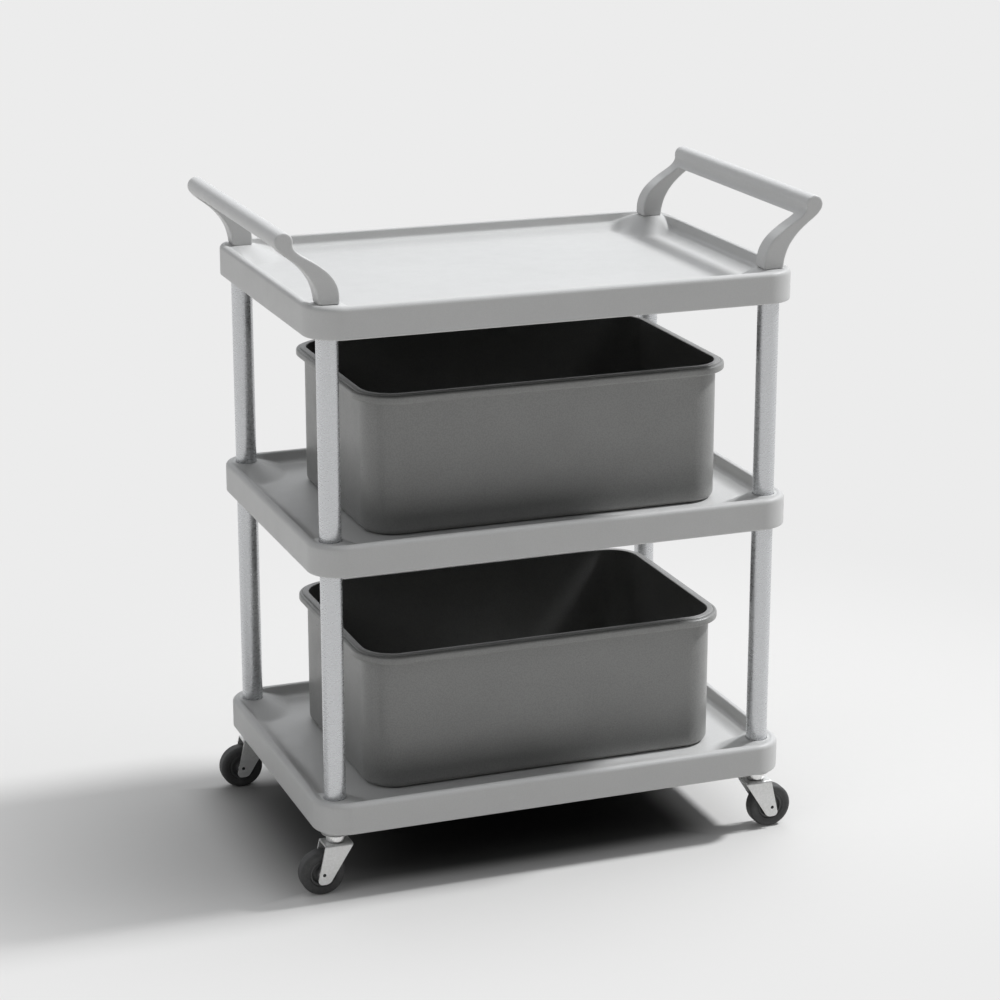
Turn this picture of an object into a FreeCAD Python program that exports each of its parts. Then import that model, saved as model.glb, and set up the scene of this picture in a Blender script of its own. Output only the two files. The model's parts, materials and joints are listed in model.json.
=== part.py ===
"""Food service trolley: three moulded tray shelves on round aluminium posts, an end
handle at each short end, four swivel casters and two lift-out tubs.

Frame: millimetres, +Z up, origin on the floor under the centre of the shelves,
+X along the long side of the shelves, -Y the front long side.
"""
import FreeCAD, Part
import os
import math
import Sketcher

V = FreeCAD.Vector
doc = FreeCAD.newDocument("food_service_trolley")

# ------------------------------------------------------------------ sizes
sheet = doc.addObject("Spreadsheet::Sheet", "Sizes")
SIZES = [
    # shelves
    ("shelf_length", 700.0, "outer length of every shelf"),
    ("shelf_width", 492.0, "outer width of every shelf"),
    ("corner_radius", 46.0, "plan radius of the shelf corners"),
    ("skirt_height", 44.0, "height of the outer skirt"),
    ("top_rim", 831.5, "height of the top shelf's rim above the floor"),
    ("mid_rim", 508.5, "height of the middle shelf's rim"),
    ("low_rim", 140.0, "height of the bottom shelf's rim"),
    ("rim_width", 11.5, "width of the rim around the tray"),
    ("rim_round", 6.5, "rounding of the rim's outer edge"),
    ("skirt_round", 2.0, "rounding of the skirt's lower edge"),
    ("skirt_wall", 3.6, "thickness of the skirt"),
    ("tray_depth", 23.0, "depth of the tray floor below the rim"),
    ("deck_wall", 4.0, "thickness of the tray floor"),
    ("cove_round", 10.0, "rounding between tray wall and floor"),
    ("ledge_width", 9.0, "width of the ledge inside the tray wall"),
    ("ledge_drop", 14.0, "depth of the ledge below the rim"),
    ("rib_thick", 3.0, "thickness of the ribs under the deck"),
    ("rib_deep", 12.0, "depth of the ribs under the deck"),
    ("pad_drop", 1.0, "post pads below the rim"),
    ("mound_top", 18.0, "radius of the flat pad round a post"),
    ("mound_foot", 57.0, "radius of the foot of the pad's slope"),
    ("boss_radius", 20.5, "radius of the corner boss under the deck"),
    # posts
    ("post_x", 318.7, "post axis from the centre plane, along X"),
    ("post_y", 207.1, "post axis from the centre plane, along Y"),
    ("post_radius", 15.0, "outer radius of a post tube"),
    ("post_wall", 1.6, "wall of a post tube"),
    ("socket_gap", 0.1, "radial gap of a post in its socket"),
    ("socket_deep", 20.0, "depth of a post's seat in a shelf, from the pad"),
    ("web_thick", 5.0, "web between two seats"),
    ("insert_long", 18.0, "length of a threaded plug in a tube end"),
    ("thread_radius", 5.0, "nominal thread radius of studs and caster stems"),
    ("thread_gap", 0.05, "radial gap between a stud and its hole"),
    # handles
    ("grip_radius", 12.5, "radius of the handle bar"),
    ("grip_x", 378.0, "handle bar axis from the centre plane"),
    ("grip_z", 916.5, "handle bar axis above the floor"),
    ("grip_half", 222.0, "half length of the handle bar"),
    ("arm_wide", 27.4, "width of a handle arm, along Y"),
    ("arm_y", 208.3, "middle of a handle arm from the centre plane, along Y"),
    ("arm_deep", 28.3, "depth of a handle arm at its foot, along X"),
    ("arm_round", 1.8, "rounding of the arm edges"),
    ("spigot_long", 17.5, "length of the arm's plug below the pad"),
    ("spigot_x", 21.0, "size of the plug along X"),
    ("spigot_y", 21.0, "size of the plug along Y"),
    ("nut_radius", 7.0, "radius of the threaded insert in the arm"),
    # casters
    ("wheel_radius", 31.75, "tyre radius"),
    ("wheel_wide", 22.0, "tyre width"),
    ("tyre_round", 5.5, "shoulder rounding of the tyre"),
    ("hub_radius", 18.3, "outer radius of the wheel centre"),
    ("hub_wide", 24.0, "length of the wheel centre at its bore"),
    ("bush_radius", 5.0, "outer radius of the wheel bushing"),
    ("axle_radius", 2.5, "radius of the axle pin"),
    ("axle_gap", 0.05, "radial running gap of the bushing on the pin"),
    ("axle_trail", 21.6, "horizontal distance from swivel axis to axle"),
    ("axle_half", 15.5, "half length of the axle pin"),
    ("fork_half", 16.0, "half the outer width of the fork"),
    ("fork_sheet", 2.5, "sheet thickness of the fork"),
    ("fork_top", 74.6, "top face of the fork above the floor"),
    ("fork_round", 3.5, "outer bend radius of the fork"),
    ("king_radius", 3.95, "radius of the swivel pin"),
    ("king_gap", 0.05, "radial running gap of the fork on the swivel pin"),
    ("ball_radius", 1.6, "radius of a swivel ball"),
    ("ball_pitch", 6.6, "radius of the ring of balls"),
    ("cup_top", 87.0, "upper face of the swivel cup above the floor"),
    ("cup_radius", 13.6, "outer radius of the swivel cup"),
    ("stem_top", 133.0, "upper end of the caster stem above the floor"),
    # tubs
    ("tub_half_x", 263.5, "half the tub's outer wall length"),
    ("tub_half_y", 170.5, "half the tub's outer wall width"),
    ("tub_corner", 47.5, "plan radius of the tub wall"),
    ("tub_tall", 201.0, "height of a tub"),
    ("tub_wall", 2.6, "wall of a tub"),
    ("tub_floor", 3.0, "floor of a tub"),
    ("tub_round", 10.0, "rounding between tub wall and floor"),
    ("tub_rim", 12.0, "overhang of the tub's rim past the wall"),
    ("tub_rim_tall", 9.0, "height of the tub's rim"),
    ("tub_lip", 7.0, "overhang of the step under the rim"),
    ("tub_lip_tall", 4.0, "height of the step under the rim"),
    ("tub_gap", 0.2, "gap between a tub and the tray floor"),
    ("mid_tub_x", 18.0, "middle tub's centre along X"),
    ("mid_tub_y", 14.0, "middle tub's centre along Y"),
    ("low_tub_x", 13.0, "lower tub's centre along X"),
    ("low_tub_y", 8.0, "lower tub's centre along Y"),
]


class Dim:
    """A size with its number and the sheet expression that gives it."""

    def __init__(self, value, text):
        self.v = float(value)
        self.t = text

    def _other(self, o):
        return o if isinstance(o, Dim) else Dim(o, repr(float(o)))

    def __add__(self, o):
        o = self._other(o)
        return Dim(self.v + o.v, "(%s + %s)" % (self.t, o.t))

    __radd__ = __add__

    def __sub__(self, o):
        o = self._other(o)
        return Dim(self.v - o.v, "(%s - %s)" % (self.t, o.t))

    def __rsub__(self, o):
        o = self._other(o)
        return Dim(o.v - self.v, "(%s - %s)" % (o.t, self.t))

    def __mul__(self, o):
        o = self._other(o)
        return Dim(self.v * o.v, "(%s * %s)" % (self.t, o.t))

    __rmul__ = __mul__

    def __truediv__(self, o):
        o = self._other(o)
        return Dim(self.v / o.v, "(%s / %s)" % (self.t, o.t))

    def __neg__(self):
        return Dim(-self.v, "(0 - %s)" % self.t)


class Sizes:
    pass


D = Sizes()
for row, (name, value, words) in enumerate(SIZES, start=1):
    sheet.set("A%d" % row, name)
    sheet.set("B%d" % row, repr(value))
    sheet.set("C%d" % row, words)
    sheet.setAlias("B%d" % row, name)
    setattr(D, name, Dim(value, "Sizes." + name))
doc.recompute()


def dim(x):
    return x if isinstance(x, Dim) else Dim(x, repr(float(x)))


def bind(obj, prop, d):
    d = dim(d)
    if "Sizes." in d.t:
        obj.setExpression(prop, d.t)


# ------------------------------------------------------------------ helpers
def new_body(label):
    body = doc.addObject("PartDesign::Body", label)
    body.Label = label
    return body


def origin_plane(body, role):
    for f in body.Origin.OriginFeatures:
        if getattr(f, "Role", "") == role:
            return f
    raise RuntimeError("no plane " + role)


def new_sketch(body, name, role="XY_Plane", offset=0.0):
    sk = body.newObject("Sketcher::SketchObject", name)
    sk.AttachmentSupport = [(origin_plane(body, role), "")]
    sk.MapMode = "FlatFace"
    off = dim(offset)
    sk.AttachmentOffset = FreeCAD.Placement(V(0, 0, off.v), FreeCAD.Rotation())
    bind(sk, "AttachmentOffset.Base.z", off)
    return sk


def constrain(sk, d, *args):
    d = dim(d)
    n = sk.addConstraint(Sketcher.Constraint(*args, d.v))
    if "Sizes." in d.t:
        sk.setExpression("Constraints[%d]" % n, d.t)
    return n


def rect(sk, half_x, half_y, cx=0.0, cy=0.0):
    """A rectangle about (cx, cy), placed by its two opposite corners."""
    x0, x1 = dim(cx) - half_x, dim(cx) + half_x
    y0, y1 = dim(cy) - half_y, dim(cy) + half_y
    return poly(sk, [(x0, y0), (x1, y0), (x1, y1), (x0, y1)])


def poly(sk, pts):
    """A closed polygon whose every corner is tied to the sheet."""
    pts = [(dim(a), dim(b)) for a, b in pts]
    n = len(pts)
    first = sk.GeometryCount
    for i in range(n):
        a, b = pts[i], pts[(i + 1) % n]
        sk.addGeometry(Part.LineSegment(V(a[0].v, a[1].v, 0), V(b[0].v, b[1].v, 0)), False)
    for i in range(n):
        sk.addConstraint(Sketcher.Constraint("Coincident", first + i, 2, first + (i + 1) % n, 1))
    for i in range(n):
        constrain(sk, pts[i][0], "DistanceX", -1, 1, first + i, 1)
        constrain(sk, pts[i][1], "DistanceY", -1, 1, first + i, 1)
    return first


def circle(sk, radius, cx=0.0, cy=0.0):
    r, x, y = dim(radius), dim(cx), dim(cy)
    g = sk.addGeometry(Part.Circle(V(x.v, y.v, 0), V(0, 0, 1), r.v), False)
    constrain(sk, r, "Radius", g)
    constrain(sk, x, "DistanceX", -1, 1, g, 3)
    constrain(sk, y, "DistanceY", -1, 1, g, 3)
    return g


def pad(body, sk, length, name, reverse=False, mid=False):
    p = body.newObject("PartDesign::Pad", name)
    p.Profile = sk
    p.Length = dim(length).v
    bind(p, "Length", length)
    p.Reversed = reverse
    if mid:
        p.SideType = "Symmetric"
    sk.Visibility = False
    doc.recompute()
    return p


def pocket(body, sk, length, name, reverse=False):
    before = body.Shape.Volume
    p = body.newObject("PartDesign::Pocket", name)
    p.Profile = sk
    p.Length = dim(length).v
    bind(p, "Length", length)
    p.Reversed = reverse
    doc.recompute()
    if not body.Shape.Volume < before - 1e-3:
        raise RuntimeError("pocket %s in %s cuts nothing" % (name, body.Label))
    return p


def revolve(body, sk, name, axis="V_Axis"):
    r = body.newObject("PartDesign::Revolution", name)
    r.Profile = sk
    r.ReferenceAxis = (sk, [axis])
    r.Angle = 360.0
    doc.recompute()
    return r


def pick(shape, test):
    return ["Edge%d" % (i + 1) for i, e in enumerate(shape.Edges) if test(e)]


def fillet(body, base, test, radius, name, kind="Fillet"):
    names = pick(base.Shape, test)
    if not names:
        raise RuntimeError("no edges for %s in %s" % (name, body.Label))
    f = body.newObject("PartDesign::" + kind, name)
    f.Base = (base, names)
    prop = "Radius" if kind == "Fillet" else "Size"
    setattr(f, prop, dim(radius).v)
    bind(f, prop, radius)
    doc.recompute()
    if f.Shape.isNull() or not f.Shape.isValid():
        raise RuntimeError("%s failed in %s" % (name, body.Label))
    return f


def near(a, b, tol=0.02):
    return abs(a - b) < tol


def upright(e):
    """A straight vertical edge."""
    if not isinstance(e.Curve, Part.Line):
        return False
    return abs(e.Curve.Direction.z) > 0.999


def level(z):
    """Edges lying wholly at one height."""
    z = dim(z).v
    return lambda e: near(e.BoundBox.ZMin, z) and near(e.BoundBox.ZMax, z)


def place(obj, x=0.0, y=0.0, z=0.0, turn=0.0):
    obj.Placement = FreeCAD.Placement(
        V(dim(x).v, dim(y).v, dim(z).v), FreeCAD.Rotation(V(0, 0, 1), turn))
    bind(obj, "Placement.Base.x", x)
    bind(obj, "Placement.Base.y", y)
    bind(obj, "Placement.Base.z", z)


def cylinder(name, radius, height, x=0.0, y=0.0, z=0.0):
    c = doc.addObject("Part::Cylinder", name)
    c.Radius = dim(radius).v
    c.Height = dim(height).v
    bind(c, "Radius", radius)
    bind(c, "Height", height)
    place(c, x, y, z)
    return c


def box(name, sx, sy, sz, x=0.0, y=0.0, z=0.0):
    """A box given by its sizes and its lowest corner."""
    b = doc.addObject("Part::Box", name)
    for prop, s in (("Length", sx), ("Width", sy), ("Height", sz)):
        setattr(b, prop, dim(s).v)
        bind(b, prop, s)
    place(b, x, y, z)
    return b


def cut(name, base, tool):
    c = doc.addObject("Part::Cut", name)
    c.Base = base
    c.Tool = tool
    return c


def fuse(name, parts):
    f = doc.addObject("Part::MultiFuse", name)
    f.Shapes = parts
    return f


def group(name, parts):
    g = doc.addObject("Part::Compound", name)
    g.Label = name
    g.Links = parts
    return g


CORNERS = (
    ("front_left", -1, -1),
    ("front_right", 1, -1),
    ("rear_left", -1, 1),
    ("rear_right", 1, 1),
)
nodes = []


def keep(obj, label):
    obj.Label = label
    nodes.append(obj)


# ------------------------------------------------------------------ shelves
def make_shelf(label, rim, seat_above, seat_below):
    """A tray shelf. The block, the tray cutter and the cutter for the hollow
    underside are three bodies; the corner pads and bosses are left standing
    by taking them out of the cutters first."""
    tag = label + "_"
    half_l, half_w = D.shelf_length / 2, D.shelf_width / 2
    base = rim - D.skirt_height
    floor = rim - D.tray_depth
    under = floor - D.deck_wall

    block = new_body(tag + "block")
    sk = new_sketch(block, tag + "outline", offset=base)
    rect(sk, half_l, half_w)
    f = pad(block, sk, D.skirt_height, tag + "pad")
    f = fillet(block, f, upright, D.corner_radius, tag + "corners")
    f = fillet(block, f, level(rim), D.rim_round, tag + "rim_round")
    f = fillet(block, f, level(base), D.skirt_round, tag + "skirt_round")

    # tray: an upper opening down to a ledge, then a smaller well to the floor
    tray = new_body(tag + "tray")
    sk = new_sketch(tray, tag + "tray_outline", offset=rim - D.ledge_drop)
    rect(sk, half_l - D.rim_width, half_w - D.rim_width)
    f = pad(tray, sk, D.ledge_drop + 4.0, tag + "tray_upper")
    f = fillet(tray, f, upright, D.corner_radius - D.rim_width, tag + "tray_corners")
    f = fillet(tray, f, level(rim - D.ledge_drop), 5.0, tag + "ledge_cove")
    well = new_body(tag + "well")
    sk = new_sketch(well, tag + "well_outline", offset=floor)
    rect(sk, half_l - D.rim_width - D.ledge_width, half_w - D.rim_width - D.ledge_width)
    g = pad(well, sk, D.tray_depth - D.ledge_drop + 2.0, tag + "well_pad")
    g = fillet(well, g, upright, D.corner_radius - D.rim_width - D.ledge_width, tag + "well_corners")
    g = fillet(well, g, level(floor), D.tray_depth - D.ledge_drop - 1.0, tag + "well_cove")

    # pads: a flat top round each post and a slope down to the tray floor
    mounds = []
    for name, sx, sy in CORNERS:
        c = doc.addObject("Part::Cone", tag + "mound_" + name)
        c.Radius1 = D.mound_foot.v
        c.Radius2 = D.mound_top.v
        c.Height = (D.tray_depth - D.pad_drop).v
        bind(c, "Radius1", D.mound_foot)
        bind(c, "Radius2", D.mound_top)
        bind(c, "Height", D.tray_depth - D.pad_drop)
        place(c, D.post_x * sx, D.post_y * sy, floor)
        mounds.append(c)
    hollow = cut(tag + "tray_cut", fuse(tag + "tray_all", [tray, well]), fuse(tag + "mounds", mounds))

    # hollow underside, with the bosses and ribs left standing
    below = new_body(tag + "below")
    sk = new_sketch(below, tag + "below_outline", offset=base - 2.0)
    rect(sk, half_l - D.skirt_wall, half_w - D.skirt_wall)
    f = pad(below, sk, under - base + 2.0, tag + "below_pad")
    f = fillet(below, f, upright, D.corner_radius - D.skirt_wall, tag + "below_corners")
    f = fillet(below, f, level(under), 3.0, tag + "below_round")
    solid = []
    for name, sx, sy in CORNERS:
        solid.append(cylinder(tag + "boss_" + name, D.boss_radius, under - base + 4.0,
                              D.post_x * sx, D.post_y * sy, base - 3.0))
    rib_z = under - D.rib_deep
    for i, y in enumerate((-120.0, 0.0, 120.0)):
        solid.append(box(tag + "rib_long_%d" % i, D.shelf_length, D.rib_thick, D.rib_deep + 1.0,
                         -half_l, Dim(y, repr(y)) - D.rib_thick / 2, rib_z))
    for i, x in enumerate((-240.0, -120.0, 0.0, 120.0, 240.0)):
        solid.append(box(tag + "rib_cross_%d" % i, D.rib_thick, D.shelf_width, D.rib_deep + 1.0,
                         Dim(x, repr(x)) - D.rib_thick / 2, -half_w, rib_z))
    relief = cut(tag + "below_cut", below, fuse(tag + "left_standing", solid))
    body = cut(tag + "shell", cut(tag + "with_tray", block, hollow), relief)

    # seats for the posts, the handle plugs and the caster sockets
    tools = []
    pad_z = rim - D.pad_drop
    for name, sx, sy in CORNERS:
        x, y = D.post_x * sx, D.post_y * sy
        seat_r = D.post_radius + D.socket_gap
        if seat_above == "post":
            tools.append(cylinder(tag + "seat_up_" + name, seat_r, D.socket_deep + 5.0,
                                  x, y, pad_z - D.socket_deep))
        else:
            hx, hy = D.spigot_x / 2 + D.socket_gap, D.spigot_y / 2 + D.socket_gap
            tools.append(box(tag + "seat_up_" + name, hx * 2, hy * 2, D.spigot_long + 6.0,
                             x - hx, y - hy, pad_z - D.spigot_long - 0.5))
            # a level land for the foot of the arm, let into the rim at the outer corner
            lx, ly = D.arm_deep / 2 + 0.5, D.arm_y - D.post_y + D.arm_wide / 2 + 0.5
            tools.append(box(tag + "foot_land_" + name, lx * 2, ly * 2, 6.0,
                             x - lx, y - ly, pad_z))
        deep = seat_below - base
        tools.append(cylinder(tag + "seat_down_" + name, seat_r, deep + 4.0, x, y, base - 4.0))
        tools.append(cylinder(tag + "bore_" + name, D.thread_radius + D.thread_gap,
                              D.skirt_height, x, y, base))
    shelf = cut(label, body, fuse(tag + "seats", tools))
    doc.recompute()
    keep(shelf, label)
    return shelf


# heights of the seats
low_web = D.low_rim - D.pad_drop - D.socket_deep          # lower post stands here
low_seat = low_web - D.web_thick                          # caster socket ends here
mid_up = D.mid_rim - D.pad_drop - D.socket_deep           # upper post stands here
mid_seat = mid_up - D.web_thick                           # lower post ends here
top_up = D.top_rim - D.pad_drop - D.spigot_long - 0.5     # handle plug ends here
top_seat = top_up - D.web_thick                           # upper post ends here

make_shelf("top_shelf", D.top_rim, "handle", top_seat)
make_shelf("middle_shelf", D.mid_rim, "post", mid_seat)
make_shelf("bottom_shelf", D.low_rim, "post", low_seat)


# ------------------------------------------------------------------ posts
def make_post(label, sx, sy, z0, z1):
    body = new_body(label)
    sk = new_sketch(body, label + "_ring")
    circle(sk, D.post_radius)
    circle(sk, D.post_radius - D.post_wall)
    pad(body, sk, z1 - z0, label + "_tube")
    place(body, D.post_x * sx, D.post_y * sy, z0)
    keep(body, label)


for name, sx, sy in CORNERS:
    make_post("upper_post_" + name, sx, sy, mid_up, top_seat)
for name, sx, sy in CORNERS:
    make_post("lower_post_" + name, sx, sy, low_web, mid_seat)

# threaded plugs pressed in the tube ends, and the studs that join them
plugs, studs = [], []
for name, sx, sy in CORNERS:
    x, y = D.post_x * sx, D.post_y * sy
    ends = (low_web, mid_seat - D.insert_long, mid_up, top_seat - D.insert_long)
    for i, z in enumerate(ends):
        outer = cylinder("plug_outer_%s_%d" % (name, i), D.post_radius - D.post_wall, D.insert_long, x, y, z)
        inner = cylinder("plug_bore_%s_%d" % (name, i), D.thread_radius, D.insert_long + 4.0, x, y, z - 2.0)
        plugs.append(cut("plug_%s_%d" % (name, i), outer, inner))
    studs.append(cylinder("stud_mid_" + name, D.thread_radius - D.thread_gap, 31.0, x, y, mid_up - 18.0))
    studs.append(cylinder("stud_top_" + name, D.thread_radius - D.thread_gap, 30.0, x, y, top_up - 18.0))
keep(group("post_thread_plugs", plugs), "post_thread_plugs")
keep(group("joining_studs", studs), "joining_studs")


# ------------------------------------------------------------------ handles
# Side outline of an arm in the XZ plane for the right-hand end. The foot stands on
# the corner pad; the arm leans outwards in an S and ends round the grip bar.
ARM_INNER = [(-14.15, 0.0), (-14.5, 12.2), (-11.0, 26.4), (-1.5, 40.6), (11.5, 51.9),
             (24.8, 60.7), (36.5, 67.9), (43.7, 74.0), (46.8, 82.0)]
ARM_OUTER = [(14.15, 0.0), (16.2, 12.9), (20.6, 26.6), (27.8, 38.9), (37.4, 50.0),
             (51.7, 62.1), (63.4, 71.3), (69.6, 79.0)]
# Lower inner edge of the bar: the bar carries the arm's inner face on between the
# arms, down to this edge, and has a flat underside.
BAR_EDGE = (39.6, 70.4)


def make_handle(label, side):
    body = new_body(label)
    foot_z = D.top_rim - D.pad_drop + 0.3
    grip_dx, grip_dz = (D.grip_x - D.post_x), (D.grip_z - foot_z)

    def flat(p):
        return V(side * (D.post_x.v + p[0]), foot_z.v + p[1], 0)

    f = None
    for name, sy in (("front", -1), ("rear", 1)):
        sk = new_sketch(body, "%s_arm_%s" % (label, name), "XZ_Plane",
                        offset=-(D.arm_y * sy) - D.arm_wide / 2)
        inner = [flat(p) for p in ARM_INNER]
        outer = [flat(p) for p in ARM_OUTER]
        centre = V(side * D.grip_x.v, D.grip_z.v, 0)
        r = D.grip_radius.v
        # the grip end closes the arm: an arc from the inner to the outer edge
        a, b = inner[-1], outer[-1]
        a = centre + (a - centre).normalize() * r
        b = centre + (b - centre).normalize() * r
        inner[-1], outer[-1] = a, b
        top = centre + V(side * 0.35, 0.94, 0).normalize() * r
        s1 = Part.BSplineCurve()
        s1.interpolate(inner)
        s2 = Part.BSplineCurve()
        s2.interpolate(outer)
        g1 = sk.addGeometry(s1, False)
        g2 = sk.addGeometry(s2, False)
        g3 = sk.addGeometry(Part.LineSegment(inner[0], outer[0]), False)
        g4 = sk.addGeometry(Part.Arc(a, top, b), False)
        f = pad(body, sk, D.arm_wide, "%s_arm_%s_pad" % (label, name))
        if f.Shape.isNull() or not f.Shape.isValid():
            raise RuntimeError("arm failed: " + label)
    def arm_rim(e):
        bb = e.BoundBox
        flat_y = near(bb.YMin, bb.YMax)
        return flat_y and e.Length > 20.0 and not isinstance(e.Curve, Part.Line)

    f = fillet(body, f, arm_rim, D.arm_round, label + "_edges")
    # the bar: round over the top and outside, its inner face swept down to a lower edge
    sk = new_sketch(body, label + "_bar", "XZ_Plane", offset=-D.grip_half + 3.0)
    centre = V(side * D.grip_x.v, D.grip_z.v, 0)
    r = D.grip_radius.v - 0.05
    a = flat(ARM_INNER[-1])
    a = centre + (a - centre).normalize() * r
    over = centre + V(side * 0.35, 0.94, 0).normalize() * r
    under = centre + V(0, -r, 0)
    edge = flat(BAR_EDGE)
    neck = flat(ARM_INNER[-2]) + V(side * 0.2, -0.2, 0)
    soft = 1.8
    e1 = edge + (under - edge).normalize() * soft
    e2 = edge + (neck - edge).normalize() * soft
    em = edge + ((e1 - edge) + (e2 - edge)).normalize() * soft * 0.42
    swoop = Part.BSplineCurve()
    swoop.interpolate([e2, neck, a])
    sk.addGeometry(Part.Arc(a, over, under), False)
    sk.addGeometry(Part.LineSegment(under, e1), False)
    sk.addGeometry(Part.Arc(e1, em, e2), False)
    sk.addGeometry(swoop, False)
    f = pad(body, sk, D.grip_half * 2 - 6.0, label + "_bar_pad")
    # plugs into the shelf, each bored for its threaded insert
    sk = new_sketch(body, label + "_plugs", offset=foot_z - 0.3 - D.spigot_long)
    for sy in (-1, 1):
        rect(sk, D.spigot_x / 2, D.spigot_y / 2, D.post_x * side, D.post_y * sy)
    f = pad(body, sk, D.spigot_long + 1.0, label + "_plugs_pad")
    sk = new_sketch(body, label + "_bores", offset=foot_z - 0.3 - D.spigot_long)
    for sy in (-1, 1):
        circle(sk, D.nut_radius, D.post_x * side, D.post_y * sy)
    pocket(body, sk, 15.0, label + "_bore", reverse=True)
    keep(body, label)
    return body


make_handle("left_handle", -1)
make_handle("right_handle", 1)

brass = []
for name, sx, sy in CORNERS:
    x, y = D.post_x * sx, D.post_y * sy
    z = D.top_rim - D.pad_drop - D.spigot_long
    outer = cylinder("nut_outer_" + name, D.nut_radius, 14.5, x, y, z)
    inner = cylinder("nut_bore_" + name, D.thread_radius, 18.0, x, y, z - 2.0)
    brass.append(cut("nut_" + name, outer, inner))
keep(group("handle_thread_inserts", brass), "handle_thread_inserts")


# ------------------------------------------------------------------ caster fixings
def turned(label, name, sx, sy, pts, rounds=()):
    """A turned piece on one corner's swivel axis, from a half section."""
    body = new_body("%s_%s" % (label, name))
    sk = new_sketch(body, "%s_%s_section" % (label, name), "XZ_Plane")
    poly(sk, pts)
    f = revolve(body, sk, "%s_%s_turn" % (label, name))
    for k, (test, radius) in enumerate(rounds):
        f = fillet(body, f, test, radius, "%s_%s_round_%d" % (label, name, k))
    place(body, D.post_x * sx, D.post_y * sy, 0.0)
    return body


low_base = D.low_rim - D.skirt_height
sockets, stems, cups, lowers = [], [], [], []
lower_race = D.fork_top - D.fork_sheet
for name, sx, sy in CORNERS:
    bore = D.thread_radius + D.thread_gap
    sockets.append(turned("caster_socket", name, sx, sy, [
        (bore, D.cup_top), (D.boss_radius, D.cup_top), (D.boss_radius, low_base),
        (D.post_radius, low_base), (D.post_radius, low_seat), (bore, low_seat)],
        [(lambda e: near(e.BoundBox.ZMax, D.cup_top.v) and near(e.BoundBox.XMax, D.boss_radius.v), 2.0)]))
    stems.append(turned("caster_stem", name, sx, sy, [
        (0.0, lower_race - 6.7), (6.0, lower_race - 6.7), (6.0, lower_race - 4.9),
        (D.king_radius, lower_race - 4.9), (D.king_radius, D.cup_top),
        (D.thread_radius - D.thread_gap, D.cup_top),
        (D.thread_radius - D.thread_gap, D.stem_top), (0.0, D.stem_top)]))
    cups.append(turned("swivel_cup", name, sx, sy, [
        (D.king_radius, D.fork_top + 0.7), (4.8, D.fork_top + 0.7), (4.8, D.fork_top + 3.3),
        (8.4, D.fork_top + 3.3), (8.4, D.fork_top + 0.7), (11.6, D.fork_top + 0.7),
        (12.7, D.fork_top + 1.9), (D.cup_radius, D.fork_top + 6.0),
        (D.cup_radius, D.cup_top), (D.king_radius, D.cup_top)]))
    lowers.append(turned("swivel_lower_cup", name, sx, sy, [
        (D.king_radius, lower_race - 4.9), (9.8, lower_race - 4.9), (9.8, lower_race - 0.6),
        (8.4, lower_race - 0.6), (8.4, lower_race - 3.3), (D.king_radius, lower_race - 3.3)]))
doc.recompute()
keep(group("caster_sockets", sockets), "caster_sockets")
keep(group("caster_stems", stems), "caster_stems")
keep(group("swivel_cups", cups), "swivel_cups")
keep(group("swivel_lower_cups", lowers), "swivel_lower_cups")


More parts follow.
